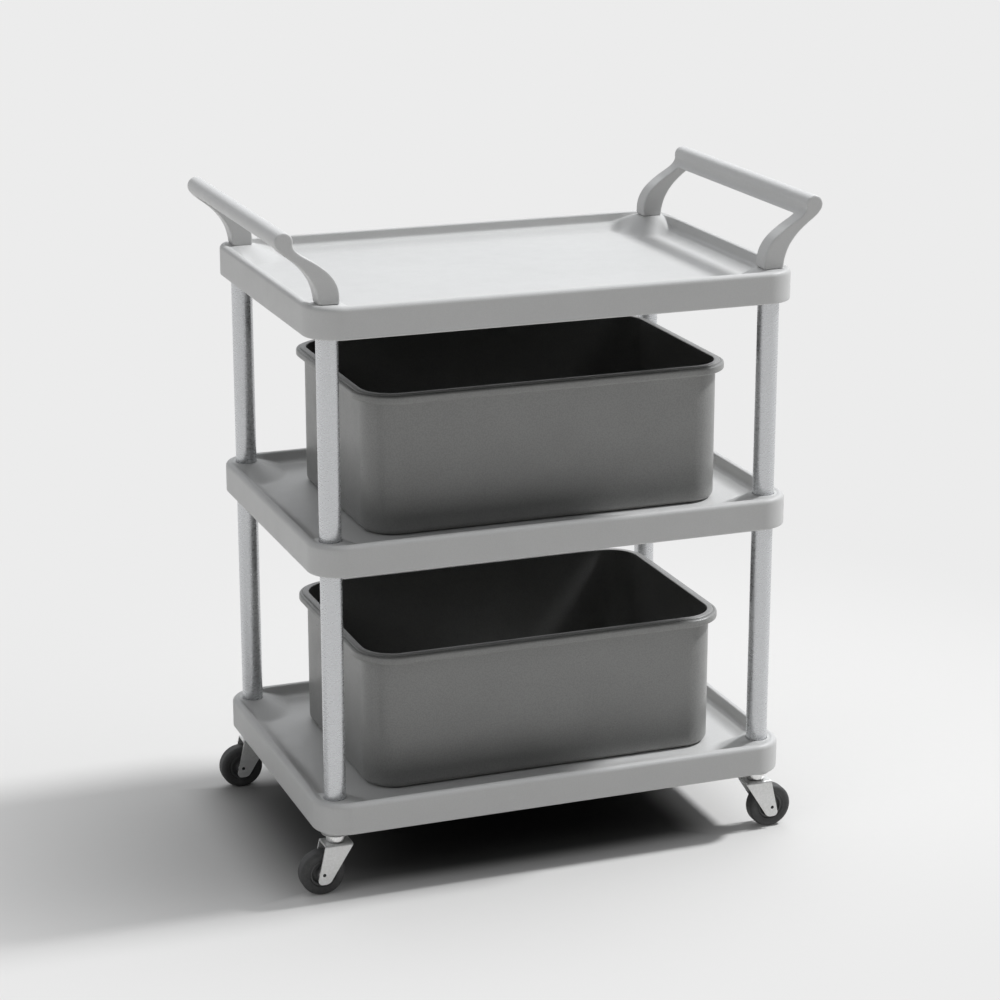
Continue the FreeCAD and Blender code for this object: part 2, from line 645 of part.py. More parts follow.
# ------------------------------------------------------------------ casters
def make_fork(label, sx, sy, turn):
    """Pressed fork: a channel bent from sheet, cut to the side outline of its legs."""
    channel = new_body(label + "_channel")
    sk = new_sketch(channel, label + "_section", "YZ_Plane", offset=-45.0)
    i_half = D.fork_half - D.fork_sheet
    poly(sk, [(-D.fork_half, 10.0), (-i_half, 10.0), (-i_half, lower_race), (i_half, lower_race),
              (i_half, 10.0), (D.fork_half, 10.0), (D.fork_half, D.fork_top), (-D.fork_half, D.fork_top)])
    f = pad(channel, sk, 75.0, label + "_channel_pad")

    def bend(y, z):
        return lambda e: (isinstance(e.Curve, Part.Line) and near(abs(e.BoundBox.YMin), y)
                          and near(abs(e.BoundBox.YMax), y) and near(e.BoundBox.ZMin, z)
                          and near(e.BoundBox.ZMax, z) and e.BoundBox.XLength > 50)

    f = fillet(channel, f, bend(D.fork_half.v, D.fork_top.v), D.fork_round, label + "_bend_out")
    f = fillet(channel, f, bend(i_half.v, lower_race.v), D.fork_round - D.fork_sheet, label + "_bend_in")
    side = new_body(label + "_side")
    sk = new_sketch(side, label + "_outline", "XZ_Plane", offset=-30.0)
    bottom = D.wheel_radius - 13.9
    shoulder = D.fork_top.v - 2.6
    poly(sk, [(20.2, D.fork_top + 1.0), (-19.4, D.fork_top + 1.0), (-19.4, shoulder),
              (-(D.axle_trail + 10.1), bottom), (-(D.axle_trail - 7.7), bottom), (20.2, shoulder)])
    g = pad(side, sk, 60.0, label + "_side_pad")

    def corner(x, z):
        return lambda e: (isinstance(e.Curve, Part.Line) and near(e.BoundBox.XMin, x)
                          and near(e.BoundBox.XMax, x) and near(e.BoundBox.ZMin, z))

    g = fillet(side, g, corner(-(D.axle_trail.v + 10.1), bottom.v), 6.0, label + "_toe_a")
    g = fillet(side, g, corner(-(D.axle_trail.v - 7.7), bottom.v), 10.0, label + "_toe_b")
    g = fillet(side, g, corner(20.2, shoulder), 3.0, label + "_shoulder")
    both = doc.addObject("Part::MultiCommon", label + "_pressed")
    both.Shapes = [channel, side]
    hole = cylinder(label + "_king_hole", D.king_radius + D.king_gap, 20.0, 0, 0, D.fork_top - 10.0)
    axle = cylinder(label + "_axle_hole", D.axle_radius, 60.0)
    axle.Placement = FreeCAD.Placement(V(-D.axle_trail.v, 30.0, D.wheel_radius.v),
                                       FreeCAD.Rotation(V(1, 0, 0), 90))
    bind(axle, "Placement.Base.x", -D.axle_trail)
    bind(axle, "Placement.Base.z", D.wheel_radius)
    fork = cut(label, both, fuse(label + "_holes", [hole, axle]))
    doc.recompute()
    place(fork, D.post_x * sx, D.post_y * sy, 0.0, turn)
    keep(fork, label)


def wheel_piece(label, sx, sy, turn, pts, rounds=()):
    """A piece turned about the axle: half section as (radius, distance along the axle)."""
    body = new_body(label)
    sk = new_sketch(body, label + "_section", "XY_Plane")
    poly(sk, pts)
    f = revolve(body, sk, label + "_turn")
    for k, (test, radius) in enumerate(rounds):
        f = fillet(body, f, test, radius, "%s_round_%d" % (label, k))
    side = 1.0 if turn else -1.0
    place(body, D.post_x * sx + D.axle_trail * side, D.post_y * sy, D.wheel_radius, turn)
    keep(body, label)
    return body


def ring_edge(r, y):
    """A full circle of radius r about the Y axis at height y along it."""
    return lambda e: (isinstance(e.Curve, Part.Circle) and near(e.Curve.Radius, r)
                      and near(e.Curve.Center.y, y))


for name, sx, sy in CORNERS:
    turn = 180.0 if sx > 0 else 0.0
    make_fork("caster_fork_" + name, sx, sy, turn)
    balls = []
    for row, z in (("upper", D.fork_top + D.ball_radius + 0.02),
                   ("lower", lower_race - D.ball_radius - 0.02)):
        for k in range(12):
            a = 2 * math.pi * (k + 0.5) / 12
            b = doc.addObject("Part::Sphere", "ball_%s_%s_%d" % (name, row, k))
            b.Radius = D.ball_radius.v
            bind(b, "Radius", D.ball_radius)
            place(b, D.post_x * sx + D.ball_pitch * math.cos(a),
                  D.post_y * sy + D.ball_pitch * math.sin(a), z)
            balls.append(b)
    keep(group("swivel_balls_" + name, balls), "swivel_balls_" + name)

    hw, bw, ww = D.hub_wide / 2, D.wheel_wide / 2, D.wheel_wide / 2 - 2.5
    wheel_piece("axle_pin_" + name, sx, sy, turn,
                [(0.0, -D.axle_half), (D.axle_radius, -D.axle_half), (D.axle_radius, D.axle_half), (0.0, D.axle_half)])
    bore = D.axle_radius + D.axle_gap
    # a thin thrust washer each side of the wheel centre
    washers = []
    for k, s in enumerate((-1, 1)):
        w = new_body("washer_%s_%d" % (name, k))
        sk = new_sketch(w, "washer_%s_%d_section" % (name, k))
        a, b = hw + 0.1, hw + 1.3
        poly(sk, [(bore, a * s), (7.0, a * s), (7.0, b * s), (bore, b * s)])
        revolve(w, sk, "washer_%s_%d_turn" % (name, k))
        side = 1.0 if turn else -1.0
        place(w, D.post_x * sx + D.axle_trail * side, D.post_y * sy, D.wheel_radius, turn)
        washers.append(w)
    keep(group("thrust_washers_" + name, washers), "thrust_washers_" + name)
    wheel_piece("wheel_bushing_" + name, sx, sy, turn,
                [(bore, -hw), (D.bush_radius, -hw), (D.bush_radius, hw), (bore, hw)])
    # wheel centre: boss, thin web and rim
    wheel_piece("wheel_centre_" + name, sx, sy, turn, [
        (D.bush_radius, -hw), (8.5, -hw), (9.5, -4.0), (14.6, -4.0), (15.6, -ww), (D.hub_radius, -ww),
        (D.hub_radius, ww), (15.6, ww), (14.6, 4.0), (9.5, 4.0), (8.5, hw), (D.bush_radius, hw)])
    # tyre: rounded shoulders, dished side faces that step down at the wheel centre
    wheel_piece("tyre_" + name, sx, sy, turn, [
        (D.hub_radius, -ww), (19.4, -ww), (20.4, -(bw - 1.0)), (25.5, -bw), (D.wheel_radius, -bw),
        (D.wheel_radius, bw), (25.5, bw), (20.4, bw - 1.0), (19.4, ww), (D.hub_radius, ww)],
        [(ring_edge(D.wheel_radius.v, -bw.v), D.tyre_round), (ring_edge(D.wheel_radius.v, bw.v), D.tyre_round)])


# ------------------------------------------------------------------ tubs
def make_tub(label, cx, cy, z0):
    body = new_body(label + "_outside")
    hx, hy = D.tub_half_x, D.tub_half_y
    sk = new_sketch(body, label + "_outline")
    rect(sk, hx, hy)
    f = pad(body, sk, D.tub_tall, label + "_wall")
    f = fillet(body, f, upright, D.tub_corner, label + "_corners")
    f = fillet(body, f, level(0.0), D.tub_round, label + "_base_round")
    # step under the rim, then the rim itself
    z_rim = D.tub_tall - D.tub_rim_tall
    z_lip = z_rim - D.tub_lip_tall

    def ring(name, over, z, tall):
        sk = new_sketch(body, "%s_%s_outline" % (label, name), offset=z)
        rect(sk, hx + over, hy + over)
        g = pad(body, sk, tall, "%s_%s" % (label, name))
        x1 = (hx + over).v
        g = fillet(body, g, lambda e: upright(e) and near(abs(e.BoundBox.XMin), x1),
                   D.tub_corner + over, "%s_%s_corners" % (label, name))
        return g

    f = ring("lip", D.tub_lip, z_lip, D.tub_lip_tall)
    f = ring("rim", D.tub_rim, z_rim, D.tub_rim_tall)
    top, low = D.tub_tall.v, z_rim.v

    def outer_loop(z):
        def test(e):
            if not level(z)(e):
                return False
            bb = e.BoundBox
            far_x = max(abs(bb.XMin), abs(bb.XMax))
            far_y = max(abs(bb.YMin), abs(bb.YMax))
            return near(far_x, (hx + D.tub_rim).v, 0.05) or near(far_y, (hy + D.tub_rim).v, 0.05)
        return test

    f = fillet(body, f, outer_loop(top), 4.5, label + "_rim_round")
    f = fillet(body, f, outer_loop(low), 2.0, label + "_rim_under")
    # hollow
    inside = new_body(label + "_inside")
    sk = new_sketch(inside, label + "_inside_outline", offset=D.tub_floor)
    rect(sk, hx - D.tub_wall, hy - D.tub_wall)
    g = pad(inside, sk, D.tub_tall - D.tub_floor + 5.0, label + "_inside_pad")
    g = fillet(inside, g, upright, D.tub_corner - D.tub_wall, label + "_inner_corners")
    g = fillet(inside, g, level(D.tub_floor), D.tub_round - 2.0, label + "_inner_round")
    tub = cut(label, body, inside)
    doc.recompute()
    place(tub, cx, cy, z0)
    keep(tub, label)


make_tub("middle_tub", D.mid_tub_x, D.mid_tub_y, D.mid_rim - D.tray_depth + D.tub_gap)
make_tub("lower_tub", D.low_tub_x, D.low_tub_y, D.low_rim - D.tray_depth + D.tub_gap)

# ------------------------------------------------------------------ checks and files
doc.recompute()
bad = []
for o in doc.Objects:
    if any(s in o.State for s in ("Invalid", "Error")):
        bad.append(o.Name + " " + ",".join(o.State))
for o in nodes:
    s = o.Shape
    if s.isNull() or not s.isValid() or not s.Solids:
        bad.append(o.Label + " has no valid solid")
if bad:
    raise RuntimeError("; ".join(bad))

os.makedirs("parts", exist_ok=True)
for o in nodes:
    o.Shape.exportStep(os.path.join("parts", o.Label + ".step"))
    bb = o.Shape.BoundBox
    print("%-28s solids %2d  faces %4d  z %.1f..%.1f  volume %.0f" % (
        o.Label, len(o.Shape.Solids), len(o.Shape.Faces), bb.ZMin, bb.ZMax, o.Shape.Volume))
print("nodes", len(nodes))
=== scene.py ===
"""A three-shelf trolley on four casters, with two tubs and a handle at each end.

Width lies along X, depth along Y and height along +Z. Front is -Y, left is -X and the
wheel axles lie along Y. Meshes are drawn in mm and set in metres at the end.
"""

import json
import math

import bmesh
import bpy
import numpy as np
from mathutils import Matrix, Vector


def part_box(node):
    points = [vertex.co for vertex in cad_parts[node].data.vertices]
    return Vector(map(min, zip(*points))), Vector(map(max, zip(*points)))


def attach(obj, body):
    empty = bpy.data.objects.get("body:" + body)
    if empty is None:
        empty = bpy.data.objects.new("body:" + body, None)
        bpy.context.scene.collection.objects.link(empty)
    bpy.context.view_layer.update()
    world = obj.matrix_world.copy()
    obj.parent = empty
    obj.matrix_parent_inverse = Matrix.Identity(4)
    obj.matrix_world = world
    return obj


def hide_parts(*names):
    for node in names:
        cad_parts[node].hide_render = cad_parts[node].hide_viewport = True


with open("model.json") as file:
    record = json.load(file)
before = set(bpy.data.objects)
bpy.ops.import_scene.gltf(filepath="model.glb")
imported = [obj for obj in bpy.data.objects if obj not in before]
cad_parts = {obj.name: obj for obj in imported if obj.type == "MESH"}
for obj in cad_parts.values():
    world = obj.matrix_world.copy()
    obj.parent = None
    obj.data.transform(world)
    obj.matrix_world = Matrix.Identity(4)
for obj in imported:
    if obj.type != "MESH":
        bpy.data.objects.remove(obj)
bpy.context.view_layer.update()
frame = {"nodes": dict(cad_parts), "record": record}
nodes = frame["nodes"]
scene = bpy.context.scene

MM = 0.001
# name, side in X, side in Y
CORNERS = (("front_left", -1, -1), ("front_right", 1, -1),
           ("rear_left", -1, 1), ("rear_right", 1, 1))


# --------------------------------------------------------------------------
# measures of the CAD nodes, in mm
# --------------------------------------------------------------------------
def centre_of(name):
    lo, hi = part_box(name)
    return [(a + b) * 500.0 for a, b in zip(lo, hi)]


def half_size(name):
    lo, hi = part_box(name)
    return [(b - a) * 500.0 for a, b in zip(lo, hi)]


def top_of(name):
    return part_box(name)[1].z * 1000.0


def foot_of(name):
    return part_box(name)[0].z * 1000.0


POST_X, POST_Y = (abs(c) for c in centre_of("upper_post_front_left")[:2])
SHELF_X, SHELF_Y = (c * 1000 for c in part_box("top_shelf")[1][:2])   # half sizes
TOP_RIM, MIDDLE_RIM, BOTTOM_RIM = (top_of(s + "_shelf") for s in ("top", "middle", "bottom"))
UPPER_FOOT, UPPER_TOP = foot_of("upper_post_front_left"), top_of("upper_post_front_left")
LOWER_FOOT, LOWER_TOP = foot_of("lower_post_front_left"), top_of("lower_post_front_left")

SHELF_CORNER = 46.0     # plan radius of the shelf corners
SKIRT = 44.0            # height of a shelf, rim to lower edge
DECK_UNDERSIDE = 27.0   # below the rim
PAD_DROP = 1.0          # level pad round each post, below the rim
WEB = 5.0               # plastic between a post end and the far side of its seat
POST_R = 15.0
POST_BORE = 13.4
SEAT_R = 15.1
WEB_BORE = 5.05
BOSS_R = 20.5           # corner bosses and the collars under them


# --------------------------------------------------------------------------
# outlines and solids, as (verts, faces) in mm
# --------------------------------------------------------------------------
def outline(half_x, half_y, radius, inset, seg=20, sharpest=2.5, dense=60.0, step=4.0,
            coarse=18.0):
    """Rounded rectangle inset by `inset`; always the same number of points.

    Sides are cut every `step` within `dense` of a corner and every `coarse` between.
    """
    side_x, side_y = half_x - radius, half_y - radius
    r = max(radius - inset, sharpest)
    shrink = max(0.0, sharpest - (radius - inset))
    cx, cy = side_x - shrink, side_y - shrink

    def spread(half):
        """Positions along one straight side, as shares of its half length."""
        near = min(dense, half)
        inner = max(0.0, half - dense)
        n_end = max(1, int(round(near / step)))
        n_mid = max(1, int(round(2 * inner / coarse)))
        stations = [half - near * i / n_end for i in range(n_end)]
        stations += [inner - 2 * inner * i / n_mid for i in range(n_mid)]
        stations += [-inner - near * i / n_end for i in range(n_end)]
        return [s / half for s in stations]

    # starts on the +X side going towards +Y: side, its shares, the corner after it
    along_x, along_y = spread(side_x), spread(side_y)
    sides = [(lambda t: (cx + r, -t * cy), along_y, (cx, cy), 0.0),
             (lambda t: (t * cx, cy + r), along_x, (-cx, cy), 90.0),
             (lambda t: (-cx - r, t * cy), along_y, (-cx, -cy), 180.0),
             (lambda t: (-t * cx, -cy - r), along_x, (cx, -cy), 270.0)]
    points = []
    for line, shares, centre, start in sides:
        points += [line(t) for t in shares]
        for k in range(seg):
            a = math.radians(start + 90.0 * k / seg)
            points.append((centre[0] + r * math.cos(a), centre[1] + r * math.sin(a)))
    return np.array(points)


def skin(rings):
    """Joins rings of equal length into a closed tube with flat caps."""
    n = len(rings[0])
    faces = []
    for k in range(len(rings) - 1):
        a, b = k * n, (k + 1) * n
        for i in range(n):
            j = (i + 1) % n
            faces.append((a + i, a + j, b + j, b + i))
    faces.append(tuple(range(n - 1, -1, -1)))
    faces.append(tuple(range((len(rings) - 1) * n, len(rings) * n)))
    return np.concatenate(rings), faces


def arc(cx, cz, r, start, end, n):
    angles = [math.radians(start + (end - start) * i / n) for i in range(n + 1)]
    return [(cx + r * math.cos(a), cz + r * math.sin(a)) for a in angles]


def smooth_profile(points, step):
    """Resamples a polyline through a Catmull-Rom curve."""
    p = [np.array(q, float) for q in points]
    p = [2 * p[0] - p[1]] + p + [2 * p[-1] - p[-2]]
    out = []
    for i in range(1, len(p) - 2):
        n = max(1, int(round(np.linalg.norm(p[i + 1] - p[i]) / step)))
        for k in range(n):
            t = k / n
            out.append(0.5 * ((2 * p[i]) + (-p[i - 1] + p[i + 1]) * t
                              + (2 * p[i - 1] - 5 * p[i] + 4 * p[i + 1] - p[i + 2]) * t * t
                              + (-p[i - 1] + 3 * p[i] - 3 * p[i + 1] + p[i + 2]) * t ** 3))
    out.append(p[-2])
    return [tuple(q) for q in out]


def lathe(profile, seg=96):
    """Turns a closed loop of (radius, height) about Z. Radius 0 becomes one vertex."""
    verts, faces, rings = [], [], []
    for r, z in profile:
        first = len(verts)
        if r < 1e-6:
            rings.append([first] * seg)
            verts.append((0.0, 0.0, z))
        else:
            for i in range(seg):
                a = 2 * math.pi * i / seg
                verts.append((r * math.cos(a), r * math.sin(a), z))
            rings.append(list(range(first, first + seg)))
    for k, a in enumerate(rings):
        b = rings[(k + 1) % len(rings)]
        if a[0] == a[1] and b[0] == b[1]:
            continue
        for i in range(seg):
            j = (i + 1) % seg
            face = tuple(dict.fromkeys((a[i], a[j], b[j], b[i])))
            if len(face) > 2:
                faces.append(face)
    return np.array(verts, float), faces


def joined(parts):
    """Several (verts, faces) as one."""
    all_verts, all_faces, n = [], [], 0
    for verts, faces in parts:
        all_verts.append(verts)
        all_faces += [tuple(i + n for i in face) for face in faces]
        n += len(verts)
    return np.concatenate(all_verts), all_faces


def at_corners(part):
    """Four copies of a part, one on each post axis."""
    verts, faces = part
    return [(verts + np.array((sx * POST_X, sy * POST_Y, 0.0)), faces)
            for _, sx, sy in CORNERS]


def block(half_x, half_y, z0, z1):
    verts = [(x, y, z) for z in (z0, z1) for y in (-half_y, half_y) for x in (-half_x, half_x)]
    faces = [(0, 2, 3, 1), (4, 5, 7, 6), (0, 1, 5, 4), (2, 6, 7, 3), (0, 4, 6, 2), (1, 3, 7, 5)]
    return np.array(verts, float), faces


def grid_ribs(xs, ys, half, end_x, end_y, z0, z1):
    """One closed solid of crossing ribs, from an occupancy grid."""
    gx = sorted({-end_x, end_x} | {x + s * half for x in xs for s in (-1, 1)})
    gy = sorted({-end_y, end_y} | {y + s * half for y in ys for s in (-1, 1)})

    def full(i, j):
        if not (0 <= i < len(gx) - 1 and 0 <= j < len(gy) - 1):
            return False
        cx, cy = (gx[i] + gx[i + 1]) / 2, (gy[j] + gy[j + 1]) / 2
        return any(abs(cx - x) < half for x in xs) or any(abs(cy - y) < half for y in ys)

    verts, index, faces = [], {}, []

    def vid(i, j, k):
        key = (i, j, k)
        if key not in index:
            index[key] = len(verts)
            verts.append((gx[i], gy[j], (z0, z1)[k]))
        return index[key]

    for i in range(len(gx) - 1):
        for j in range(len(gy) - 1):
            if not full(i, j):
                continue
            a, b, c, d = (i, j), (i + 1, j), (i + 1, j + 1), (i, j + 1)
            faces.append(tuple(vid(*p, 1) for p in (a, b, c, d)))
            faces.append(tuple(vid(*p, 0) for p in (a, d, c, b)))
            # walls only where the next cell is empty
            for di, dj, p, q in ((-1, 0, d, a), (1, 0, b, c), (0, -1, a, b), (0, 1, c, d)):
                if not full(i + di, j + dj):
                    faces.append((vid(*p, 0), vid(*q, 0), vid(*q, 1), vid(*p, 1)))
    return np.array(verts, float), faces


# --------------------------------------------------------------------------
# objects
# --------------------------------------------------------------------------
def link_object(name, data):
    ob = bpy.data.objects.new(name, data)
    scene.collection.objects.link(ob)
    return ob


def raw_mesh(name, verts, faces):
    me = bpy.data.meshes.new(name)
    me.from_pydata([tuple(float(c) for c in v) for v in verts], [],
                   [tuple(int(i) for i in f) for f in faces])
    return me


def loose(name, part):
    """A working object in mm, with outward normals."""
    me = raw_mesh(name, *part)
    me.update()
    bm = bmesh.new()
    bm.from_mesh(me)
    bmesh.ops.recalc_face_normals(bm, faces=bm.faces)
    bm.to_mesh(me)
    bm.free()
    return link_object(name, me)


def tidy(ob, sharp=34.0, scale=None, merge=None):
    """Consistent outward normals, smooth faces and sharp edges by angle."""
    me = ob.data
    bm = bmesh.new()
    bm.from_mesh(me)
    if merge:
        bmesh.ops.remove_doubles(bm, verts=bm.verts, dist=merge)
        bmesh.ops.dissolve_degenerate(bm, dist=merge * 0.5, edges=bm.edges)
    bmesh.ops.recalc_face_normals(bm, faces=bm.faces)
    for f in bm.faces:
        f.smooth = True
    limit = math.radians(sharp)
    for e in bm.edges:
        e.smooth = len(e.link_faces) == 2 and e.calc_face_angle(0.0) < limit
    if scale:
        bmesh.ops.scale(bm, vec=(scale,) * 3, verts=bm.verts)
    bm.to_mesh(me)
    bm.free()
    me.update()


def coat(ob, material):
    ob.data.materials.clear()
    ob.data.materials.append(material)


def adopt(ob, body, slot, node, finish=None):
    """Gives ob its finish and sets it in place of a CAD node."""
    coat(ob, MATERIALS[finish or slot])
    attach(ob, body)
    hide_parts(node)


def finish_mesh(name, part, body, slot, node, sharp):
    me = raw_mesh(name, *part)
    me.validate(verbose=False)
    me.update()
    ob = link_object(name, me)
    tidy(ob, sharp, scale=MM)
    adopt(ob, body, slot, node)


def modifier(ob, name, kind, **settings):
    m = ob.modifiers.new(name, kind)
    for key, value in settings.items():
        setattr(m, key, value)


def bake(ob):
    """Applies every modifier of ob into its mesh."""
    bpy.context.view_layer.update()
    graph = bpy.context.evaluated_depsgraph_get()
    me = bpy.data.meshes.new_from_object(ob.evaluated_get(graph), depsgraph=graph)
    ob.modifiers.clear()
    old = ob.data
    ob.data = me
    bpy.data.meshes.remove(old)


def extent(me):
    co = np.empty(len(me.vertices) * 3)
    me.vertices.foreach_get("co", co)
    co = co.reshape(-1, 3)
    return np.concatenate([co.min(axis=0), co.max(axis=0)]) if len(co) else np.zeros(6)


def boolean(ob, parts, kind):
    """Joins or cuts with parts; a broken result is retried with them a few microns off."""
    tool = loose("tool", joined(parts))
    spare = ob.data.copy()
    count, box = len(spare.polygons), extent(spare)
    for k in range(6):
        tool.location = (0.0013 * k, 0.0017 * k, 0.0023 * k)
        modifier(ob, "boolean", "BOOLEAN", operation=kind, solver="EXACT", object=tool)
        bake(ob)
        if len(ob.data.polygons) > 0.75 * count and np.abs(extent(ob.data) - box).max() < 1.0:
            break
        broken = ob.data
        ob.data = spare.copy()
        bpy.data.meshes.remove(broken)
    bpy.data.meshes.remove(spare)
    me = tool.data
    bpy.data.objects.remove(tool)
    bpy.data.meshes.remove(me)


# --------------------------------------------------------------------------
# node graphs
# --------------------------------------------------------------------------
class Graph:
    """Short calls that add nodes to a shader tree."""
    third_operand = ()

    def __init__(self, owner, output_kind):
        owner.use_nodes = True
        self.tree = owner.node_tree
        self.tree.nodes.clear()
        self.out = self.new(output_kind)

    def new(self, kind, **props):
        n = self.tree.nodes.new(kind)
        for key, value in props.items():
            setattr(n, key, value)
        return n

    def put(self, socket, value):
        """Links a socket, or sets its value."""
        if isinstance(value, bpy.types.NodeSocket):
            self.tree.links.new(value, socket)
        else:
            socket.default_value = value

    def math(self, op, a, b=0.0):
        n = self.new("ShaderNodeMath", operation=op)
        for socket, value in zip(n.inputs, (a, b, *self.third_operand)):
            self.put(socket, value)
        return n.outputs[0]

    def ramp(self, fac, over, to=(0.0, 1.0), smooth=False):
        """Maps the range `over` to the range `to`, clamped."""
        n = self.new("ShaderNodeMapRange")
        n.clamp = True
        if smooth:
            n.interpolation_type = "SMOOTHSTEP"
        self.put(n.inputs["Value"], fac)
        for key, value in zip(("From Min", "From Max", "To Min", "To Max"), (*over, *to)):
            n.inputs[key].default_value = value
        return n.outputs["Result"]

    def mix_shader(self, fac, a, b):
        n = self.new("ShaderNodeMixShader")
        for socket, value in zip(n.inputs, (fac, a, b)):
            self.put(socket, value)
        return n.outputs[0]


class Surface(Graph):
    """A material's graph; tones are multiples of its base colour."""
    third_operand = (0.0,)

    def __init__(self, name, base=None):
        self.mat = bpy.data.materials.new(name)
        self.base = base
        super().__init__(self.mat, "ShaderNodeOutputMaterial")

    def coords(self, scale=(1, 1, 1), turn=(0, 0, 0)):
        c = self.new("ShaderNodeTexCoord")
        m = self.new("ShaderNodeMapping")
        m.inputs["Scale"].default_value = scale
        m.inputs["Rotation"].default_value = turn
        self.put(m.inputs["Vector"], c.outputs["Object"])
        return m.outputs["Vector"]

    def noise(self, vec, scale=1.0, detail=2.0, rough=0.5, distortion=0.0):
        n = self.new("ShaderNodeTexNoise")
        for key, value in (("Vector", vec), ("Scale", scale), ("Detail", detail),
                           ("Roughness", rough), ("Distortion", distortion)):
            self.put(n.inputs[key], value)
        return n.outputs["Fac"]

    def cells(self, vec, scale=1.0):
        n = self.new("ShaderNodeTexVoronoi", feature="F1")
        self.put(n.inputs["Vector"], vec)
        n.inputs["Scale"].default_value = scale
        return n.outputs["Distance"]

    def tone(self, k):
        return (*(min(1.0, c * k) for c in self.base), 1.0)

    def mix(self, fac, a, b):
        n = self.new("ShaderNodeMix", data_type="RGBA")
        for i, value in ((0, fac), (6, a), (7, b)):
            self.put(n.inputs[i], value)
        return n.outputs[2]

    def drift(self, fac, tones):
        """Base colour wandering between two tones."""
        return self.mix(fac, self.tone(tones[0]), self.tone(tones[1]))

    def layer(self, colour, mask, amount, tone):
        """Lays a tone over a colour where the mask is high."""
        return self.mix(self.math("MULTIPLY", mask, amount), colour, self.tone(tone))

    def bump(self, height, strength, distance, normal=None):
        n = self.new("ShaderNodeBump")
        n.inputs["Strength"].default_value = strength
        n.inputs["Distance"].default_value = distance
        self.put(n.inputs["Height"], height)
        if normal is not None:
            self.put(n.inputs["Normal"], normal)
        return n.outputs["Normal"]

    def edge(self, over=(0.515, 0.60)):
        """1 along outward edges, from the mesh's own curvature."""
        g = self.new("ShaderNodeNewGeometry")
        return self.ramp(g.outputs["Pointiness"], over=over, smooth=True)

    def principled(self, colour, roughness, normal, others):
        n = self.new("ShaderNodeBsdfPrincipled")
        values = {"Base Color": colour, "Roughness": roughness, "Normal": normal, **others}
        for key, value in values.items():
            self.put(n.inputs[key], value)
        self.put(self.out.inputs["Surface"], n.outputs["BSDF"])
        return self.mat


# --------------------------------------------------------------------------
# materials
# --------------------------------------------------------------------------
def moulded(name, base, rough=0.46, grain=900.0, depth=0.00012, fleck=0.05, wear=0.25,
            mottle=0.05, scuff=0.3, spec=0.45):
    """Injection-moulded plastic: fine grain, slight mottling, scuffs and worn edges."""
    n = Surface(name, base)
    p = n.coords()
    fine = n.noise(p, scale=grain, detail=3.0, rough=0.62)
    cells = n.cells(p, scale=grain * 0.75)
    medium = n.noise(p, scale=grain * 0.28)
    broad = n.noise(p, scale=9.0, detail=3.0, rough=0.55)
    cloud = n.noise(p, scale=38.0, detail=4.0, rough=0.6)
    # colour: broad drift, clouding, fine flecks
    c = n.drift(n.ramp(broad, over=(0.3, 0.7)), tones=(1.0 - mottle, 1.0 + mottle))
    c = n.layer(c, n.ramp(cloud, over=(0.5, 0.75)), amount=mottle * 4.0, tone=0.90)
    c = n.layer(c, n.ramp(fine, over=(0.56, 0.72)), amount=fleck * 4.0, tone=1.30)
    c = n.layer(c, n.ramp(cells, over=(0.42, 0.62)), amount=fleck * 3.0, tone=0.72)
    # hairline scuffs in two directions, only in places
    scuff_a = n.noise(n.coords(scale=(14, 420, 120), turn=(0.2, 0.1, 0.5)),
                      detail=3.0, rough=0.65)
    scuff_b = n.noise(n.coords(scale=(360, 16, 140), turn=(0.1, 0.3, -0.35)),
                      detail=3.0, rough=0.65)
    lines = n.math("MAXIMUM", n.ramp(scuff_a, over=(0.655, 0.70)),
                   n.ramp(scuff_b, over=(0.66, 0.705)))
    lines = n.math("MULTIPLY", lines, n.ramp(n.noise(p, scale=16.0), over=(0.5, 0.68)))
    c = n.layer(c, lines, amount=scuff, tone=1.25)
    e = n.edge()
    e = n.math("MULTIPLY", e, n.ramp(n.noise(p, scale=70.0, detail=3.0, rough=0.6),
                                     over=(0.35, 0.65), to=(0.25, 1.0)))
    c = n.layer(c, e, amount=wear, tone=1.30)
    # worn edges are glossier, scuffs duller
    edge_gloss, scuff_dull = 0.10, 0.08
    r = n.math("ADD", n.ramp(cloud, over=(0.3, 0.7), to=(rough - 0.05, rough + 0.06)),
               n.ramp(fine, over=(0.35, 0.65), to=(-0.04, 0.05)))
    r = n.math("SUBTRACT", r, n.math("MULTIPLY", e, edge_gloss))
    r = n.math("ADD", r, n.math("MULTIPLY", lines, scuff_dull))
    cell_height = 0.6
    height = n.math("ADD", fine, n.math("MULTIPLY", cells, cell_height))
    normal = n.bump(height, strength=0.55, distance=depth)
    normal = n.bump(medium, strength=0.30, distance=depth * 1.6, normal=normal)
    normal = n.bump(n.noise(p, scale=24.0), strength=0.06, distance=0.0012, normal=normal)
    return n.principled(c, r, normal, {"Specular IOR Level": spec})


